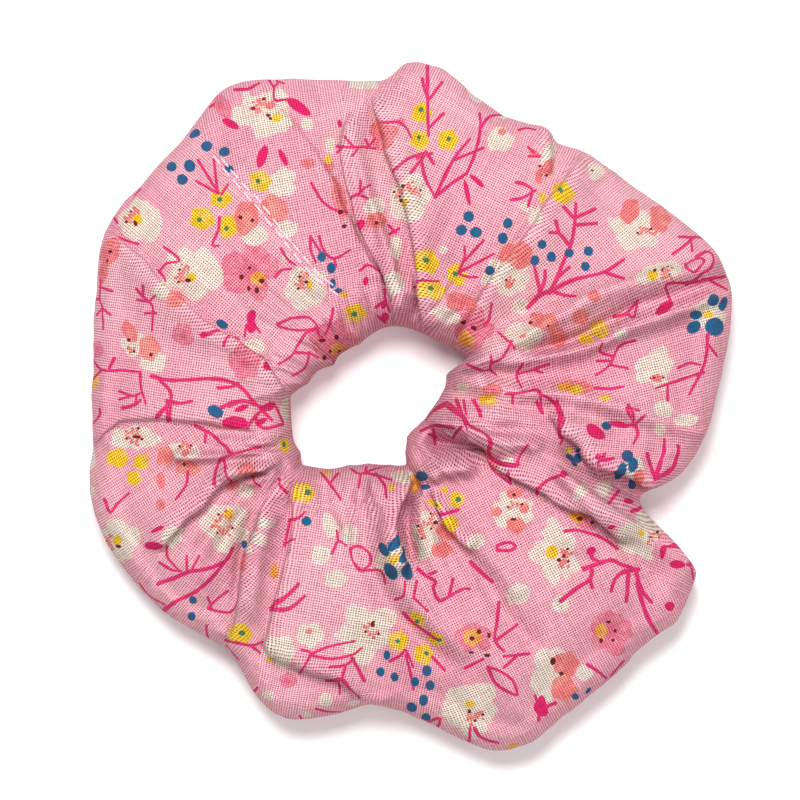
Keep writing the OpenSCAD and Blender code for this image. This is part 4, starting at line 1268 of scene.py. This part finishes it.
gap = g.m("MULTIPLY", g.m("SUBTRACT", 1.0, A_), g.m("SUBTRACT", 1.0, B_))
cell = g.t.nodes.new("ShaderNodeTexWhiteNoise")
cell.noise_dimensions = "3D"
g.put(cell.inputs["Vector"], g.vec(g.m("FLOOR", g.m("ADD", uu, 0.5)), g.m("FLOOR", g.m("ADD", vv, 0.5)), seed))
# painted shade: the gaps between the threads, darker at random from gap to gap
painted_pinhole_shade = g.m("MULTIPLY", g.span(gap, 0.07, 0.34), g.m("MULTIPLY_ADD", cell.outputs["Value"], 0.75, 0.45), clamp=True)
# painted shade: the low flanks of the threads, where their height falls off
painted_flank_shade = g.span(height, 0.75, 0.35)

cloud = g.noise(obj_v, 60, 3.0)
colour = g.mix(g.span(cloud, 0.35, 0.70), srgb(BASE_PINK), srgb("#EFABC3"))
edge_n = g.m("SUBTRACT", g.noise(obj_v, 520, 3.0), 0.5)
jag = g.m("MULTIPLY", g.m("SUBTRACT", height, 0.6), 0.05)


def polar_of(name):
    x, y, z = g.xyz(g.attr(name))
    r = g.m("SQRT", g.m("ADD", g.m("MULTIPLY", x, x), g.m("MULTIPLY", y, y)))
    return x, y, z, r


# big flowers with uneven petals
x, y, z, r = polar_of("bloom")
ang = g.m("ARCTAN2", y, x)
big = g.m("GREATER_THAN", g.m("FRACT", g.m("ADD", z, 0.02)), 0.3)
lobe = g.m("POWER", g.m("ABSOLUTE", g.m("COSINE", g.m("MULTIPLY", ang, 2.5))), 0.7)
petals5 = g.m("MULTIPLY", g.m("SUBTRACT", lobe, 0.72), 0.24)
petals3 = g.m("MULTIPLY", g.m("COSINE", g.m("MULTIPLY_ADD", ang, 3.0, 1.0)), 0.05)
slow_n = g.m("SUBTRACT", g.noise(obj_v, 260, 1.0), 0.5)
lobes = g.m("MULTIPLY", g.m("ADD", petals5, petals3), g.m("MULTIPLY_ADD", big, 0.7, 0.3))
rim = g.m("ADD", lobes, g.m("ADD", g.m("MULTIPLY", slow_n, g.m("MULTIPLY", big, 0.75)), g.m("MULTIPLY", edge_n, g.m("MULTIPLY_ADD", big, -0.75, 1.0))))
inside = g.m("SUBTRACT", g.m("ADD", rim, 0.98), r)
face = g.codes(z, [(0, WHITE), (1, ROSE), (2, CORAL)])
# brush marks: petals part along soft lines and pale patches
marks = g.noise(g.vec(g.m("MULTIPLY", ang, 1.6), g.m("MULTIPLY", r, 1.3), z), 2.6, 3.0)
is_white = g.m("LESS_THAN", z, 0.5)
lines = g.span(g.m("ABSOLUTE", g.m("COSINE", g.m("MULTIPLY_ADD", ang, 2.5, g.m("MULTIPLY", slow_n, 1.2)))), 0.14, 0.02)
lines = g.m("MULTIPLY", g.m("MULTIPLY", lines, big), g.span(r, 0.25, 0.6))
brushed = g.mix(g.m("MULTIPLY", g.span(marks, 0.52, 0.74), 0.30), face, srgb("#F3BACB"))
brushed = g.mix(g.m("MULTIPLY", lines, 0.40), brushed, srgb("#F0AFC4"))
rosy = g.mix(g.m("MULTIPLY", g.span(marks, 0.46, 0.62), 0.75), face, srgb("#EFA0B6"))
rosy = g.mix(g.m("MULTIPLY", g.span(r, 0.50, 0.15), 0.45), rosy, srgb("#DB4F82"))
rosy = g.mix(g.m("MULTIPLY", lines, 0.45), rosy, srgb("#CC4274"))
face = g.mix(is_white, rosy, brushed)
colour = g.mix(g.m("MULTIPLY", g.span(inside, -0.03, 0.05), 1.0), colour, face)

# petals and small flowers
x, y, z, r = polar_of("petal")
ang = g.m("ARCTAN2", y, x)
rim = g.m("ADD", g.m("MULTIPLY", g.m("COSINE", g.m("MULTIPLY", ang, 5.0)), 0.07), g.m("MULTIPLY", edge_n, 0.5))
inside = g.m("SUBTRACT", g.m("ADD", rim, 1.0), r)
face = g.codes(z, [(2, CORAL), (3, YELLOW), (4, ORANGE)])
face = g.mix(g.m("MULTIPLY", g.span(g.noise(obj_v, 420, 2.0), 0.45, 0.65), 0.18), face, srgb("#FFF0D8"))
colour = g.mix(g.m("MULTIPLY", g.span(inside, -0.06, 0.08), 1.0), colour, face)


def capsule(name):
    x, y, z = g.xyz(g.attr(name))
    past = g.m("MAXIMUM", g.m("SUBTRACT", g.m("ABSOLUTE", x), z), 0.0)
    return g.m("SQRT", g.m("ADD", g.m("MULTIPLY", past, past), g.m("MULTIPLY", y, y)))


near_twig = g.m("MINIMUM", capsule("twig_a"), capsule("twig_b"))
near_twig = g.m("ADD", near_twig, g.m("MULTIPLY", edge_n, 0.9))
twig_mask = g.span(near_twig, 1.18, 0.82)
twig_colour = g.mix(g.span(cloud, 0.35, 0.65), srgb("#E8417F"), srgb("#E0357C"))
colour = g.mix(g.m("MULTIPLY", twig_mask, 1.0), colour, twig_colour)

for name, table in (("spot", [(5, BLUE), (6, MAGENTA)]), ("dot", [(2, DEEP), (7, GREEN), (8, BROWN)])):
    x, y, z, r = polar_of(name)
    inside = g.m("SUBTRACT", g.m("ADD", g.m("MULTIPLY", edge_n, 0.45), 1.0), r)
    colour = g.mix(g.m("MULTIPLY", g.span(inside, -0.09, 0.09), 1.0), colour, g.codes(z, table))

# ink stays on the threads; painted shade darkens the flanks of the threads, and the gaps between them are painted dark
# as the shade of the inside seen through them
# painted shade on the thread flanks, multiplied into the print
print_with_painted_weave_shade = g.mix(g.m("MULTIPLY", painted_flank_shade, 0.54), colour, srgb("#C0707F"), "MULTIPLY")
# the gaps between threads painted dark rose as shade
print_with_painted_weave_shade = g.mix(g.m("MULTIPLY", painted_pinhole_shade, 0.93), print_with_painted_weave_shade, srgb("#701E3A"))
hue = g.t.nodes.new("ShaderNodeHueSaturation")
g.put(hue.inputs["Value"], thread_tone_and_painted_highlight)
g.put(hue.inputs["Color"], print_with_painted_weave_shade)
final = g.mix(1.0, hue.outputs[0], (0.77, 0.74, 0.68, 1.0), "MULTIPLY")
g.put(g.bsdf.inputs["Base Color"], final)
g.bsdf.inputs["Roughness"].default_value = 0.88
g.bsdf.inputs["Specular IOR Level"].default_value = 0.06
g.bsdf.inputs["Sheen Weight"].default_value = 0.015
g.bsdf.inputs["Sheen Roughness"].default_value = 0.5
g.bsdf.inputs["Sheen Tint"].default_value = srgb("#FBD9E6")
bump = g.t.nodes.new("ShaderNodeBump")
bump.inputs["Strength"].default_value = 0.55
bump.inputs["Distance"].default_value = 0.00010
fuzz = g.m("MULTIPLY", g.noise(obj_v, 2600, 2.0), 0.35)
g.put(bump.inputs["Height"], g.m("ADD", height, fuzz))
g.put(g.bsdf.inputs["Normal"], bump.outputs[0])
cover.data.materials.append(g.mat)


def thread_material(name, light, painted_groove_shade, turns, rough=0.6):
    """Plied thread: strands that wind round its length, with painted shade in the grooves between them."""
    h = Graph(name)
    s, t, _ = h.xyz(h.attr("strand"))
    ply = h.m("SINE", h.m("MULTIPLY", h.m("ADD", h.m("MULTIPLY", s, turns), h.m("MULTIPLY", t, 2.0)), 2 * math.pi))
    ply = h.span(ply, -1.0, 1.0)
    fine = h.noise(h.t.nodes.new("ShaderNodeTexCoord").outputs["Object"], 5200, 2.0)
    # painted shade: the grooves between the strands take the darker colour
    c = h.mix(ply, srgb(painted_groove_shade), srgb(light))
    c = h.mix(h.m("MULTIPLY", fine, 0.25), c, srgb("#FFFFFF"))
    h.put(h.bsdf.inputs["Base Color"], c)
    h.bsdf.inputs["Roughness"].default_value = rough
    h.bsdf.inputs["Sheen Weight"].default_value = 0.2
    b = h.t.nodes.new("ShaderNodeBump")
    b.inputs["Strength"].default_value = 0.8
    b.inputs["Distance"].default_value = 0.00006
    h.put(b.inputs["Height"], h.m("ADD", ply, h.m("MULTIPLY", fine, 0.4)))
    h.put(h.bsdf.inputs["Normal"], b.outputs[0])
    return h.mat


# the second colour of each thread is the painted shade in its grooves
seam_cotton = thread_material("pale_pink_sewing_thread", "#F3CBD7", "#D898AE", 1.5)
join_cotton = thread_material("white_sewing_thread", "#F7F5F0", "#CFCBC2", 1.5)
for ob in stitch_rows + [seam_thread]:
    ob.data.materials.append(seam_cotton)
join_thread.data.materials.append(join_cotton)

h = Graph("braided_elastic")
s, t, _ = h.xyz(h.attr("strand"))
cords = h.m("ABSOLUTE", h.m("SINE", h.m("MULTIPLY", t, math.pi * 1.5)))
slant = h.m("SUBTRACT", h.m("MULTIPLY", s, 1.25), h.m("MULTIPLY", h.m("ABSOLUTE", h.m("SUBTRACT", h.m(
    "FRACT", h.m("MULTIPLY", t, 1.5)), 0.5)), 1.1))
rows_ = h.m("ABSOLUTE", h.m("SINE", h.m("MULTIPLY", slant, math.pi)))
knit = h.m("MULTIPLY", h.m("SQRT", cords), h.m("MULTIPLY_ADD", rows_, 0.6, 0.4))
fine = h.noise(h.t.nodes.new("ShaderNodeTexCoord").outputs["Object"], 3200, 3.0)
# painted shade: where the knit is low, between the cords and rows, the band is coloured grey
c = h.mix(h.span(knit, 0.15, 0.75), srgb("#B9B4A8"), srgb("#F4F1E9"))
c = h.mix(h.m("MULTIPLY", fine, 0.25), c, srgb("#FFFFFF"))
h.put(h.bsdf.inputs["Base Color"], c)
h.bsdf.inputs["Roughness"].default_value = 0.75
h.bsdf.inputs["Sheen Weight"].default_value = 0.25
b = h.t.nodes.new("ShaderNodeBump")
b.inputs["Strength"].default_value = 0.9
b.inputs["Distance"].default_value = 0.00018
h.put(b.inputs["Height"], h.m("ADD", knit, h.m("MULTIPLY", fine, 0.25)))
h.put(h.bsdf.inputs["Normal"], b.outputs[0])
elastic.data.materials.append(h.mat)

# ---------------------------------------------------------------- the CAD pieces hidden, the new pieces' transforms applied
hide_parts("cover_seam_half", "cover_far_half")
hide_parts("elastic_band")
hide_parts("elastic_join_stitches")
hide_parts("lengthwise_seam_thread")
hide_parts("closing_topstitch_row_1")
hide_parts("closing_topstitch_row_2")
for ob in (cover, elastic, seam_thread):
    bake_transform(ob)
for ob in stitch_rows + [join_thread]:
    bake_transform(ob)

# ---------------------------------------------------------------- floor, light and camera
def flat_material(name, colour, rough=0.9):
    k = Graph(name)
    k.bsdf.inputs["Base Color"].default_value = srgb(colour)
    k.bsdf.inputs["Roughness"].default_value = rough
    return k.mat


floor = new_mesh("studio_floor", [(-900, -900, FLOOR), (900, -900, FLOOR), (900, 900, FLOOR), (-900, 900, FLOOR)],
                 [(0, 1, 2, 3)], smooth=False)
floor.data.materials.append(flat_material("pale_floor", "#FFFFFF"))


def lamp(name, where, size, power, colour=(1, 1, 1)):
    data = bpy.data.lights.new(name, "AREA")
    data.shape, data.size, data.energy, data.color = "DISK", size, power, colour
    ob = bpy.data.objects.new(name, data)
    ob.location = where
    ob.rotation_mode = "QUATERNION"
    ob.rotation_quaternion = (-Vector(where)).to_track_quat("-Z", "Y")
    bpy.context.scene.collection.objects.link(ob)
    return ob


lamp("key_softbox", (-0.06, 0.26, 0.80), 0.30, 8.1)
lamp("fill_softbox", (0.30, -0.25, 0.85), 0.5, 2.2)
world = bpy.data.worlds.new("studio")
bpy.context.scene.world = world
world.use_nodes = True
bg = world.node_tree.nodes.get("Background") or world.node_tree.nodes.new("ShaderNodeBackground")
wo = world.node_tree.nodes.get("World Output") or world.node_tree.nodes.new("ShaderNodeOutputWorld")
world.node_tree.links.new(bg.outputs[0], wo.inputs[0])
bg.inputs[0].default_value = (1.0, 1.0, 1.0, 1.0)
bg.inputs[1].default_value = 0.39
bpy.context.scene.view_settings.view_transform = "Standard"
bpy.context.scene.view_settings.look = "None"

cam_data = bpy.data.cameras.new("photo_camera")
cam = bpy.data.objects.new("photo_camera", cam_data)
bpy.context.scene.collection.objects.link(cam)
HIGH, SEEN = 1.2, 800 * PX * 0.001
cam.location = ((400 - CX) * PX * 0.001, (CY - 400) * PX * 0.001, HIGH)
cam.rotation_euler = (0, 0, 0)
cam_data.sensor_width = 36.0
cam_data.lens = 36.0 * HIGH / SEEN
cam_data.clip_start, cam_data.clip_end = 0.05, 10.0
bpy.context.scene.camera = cam
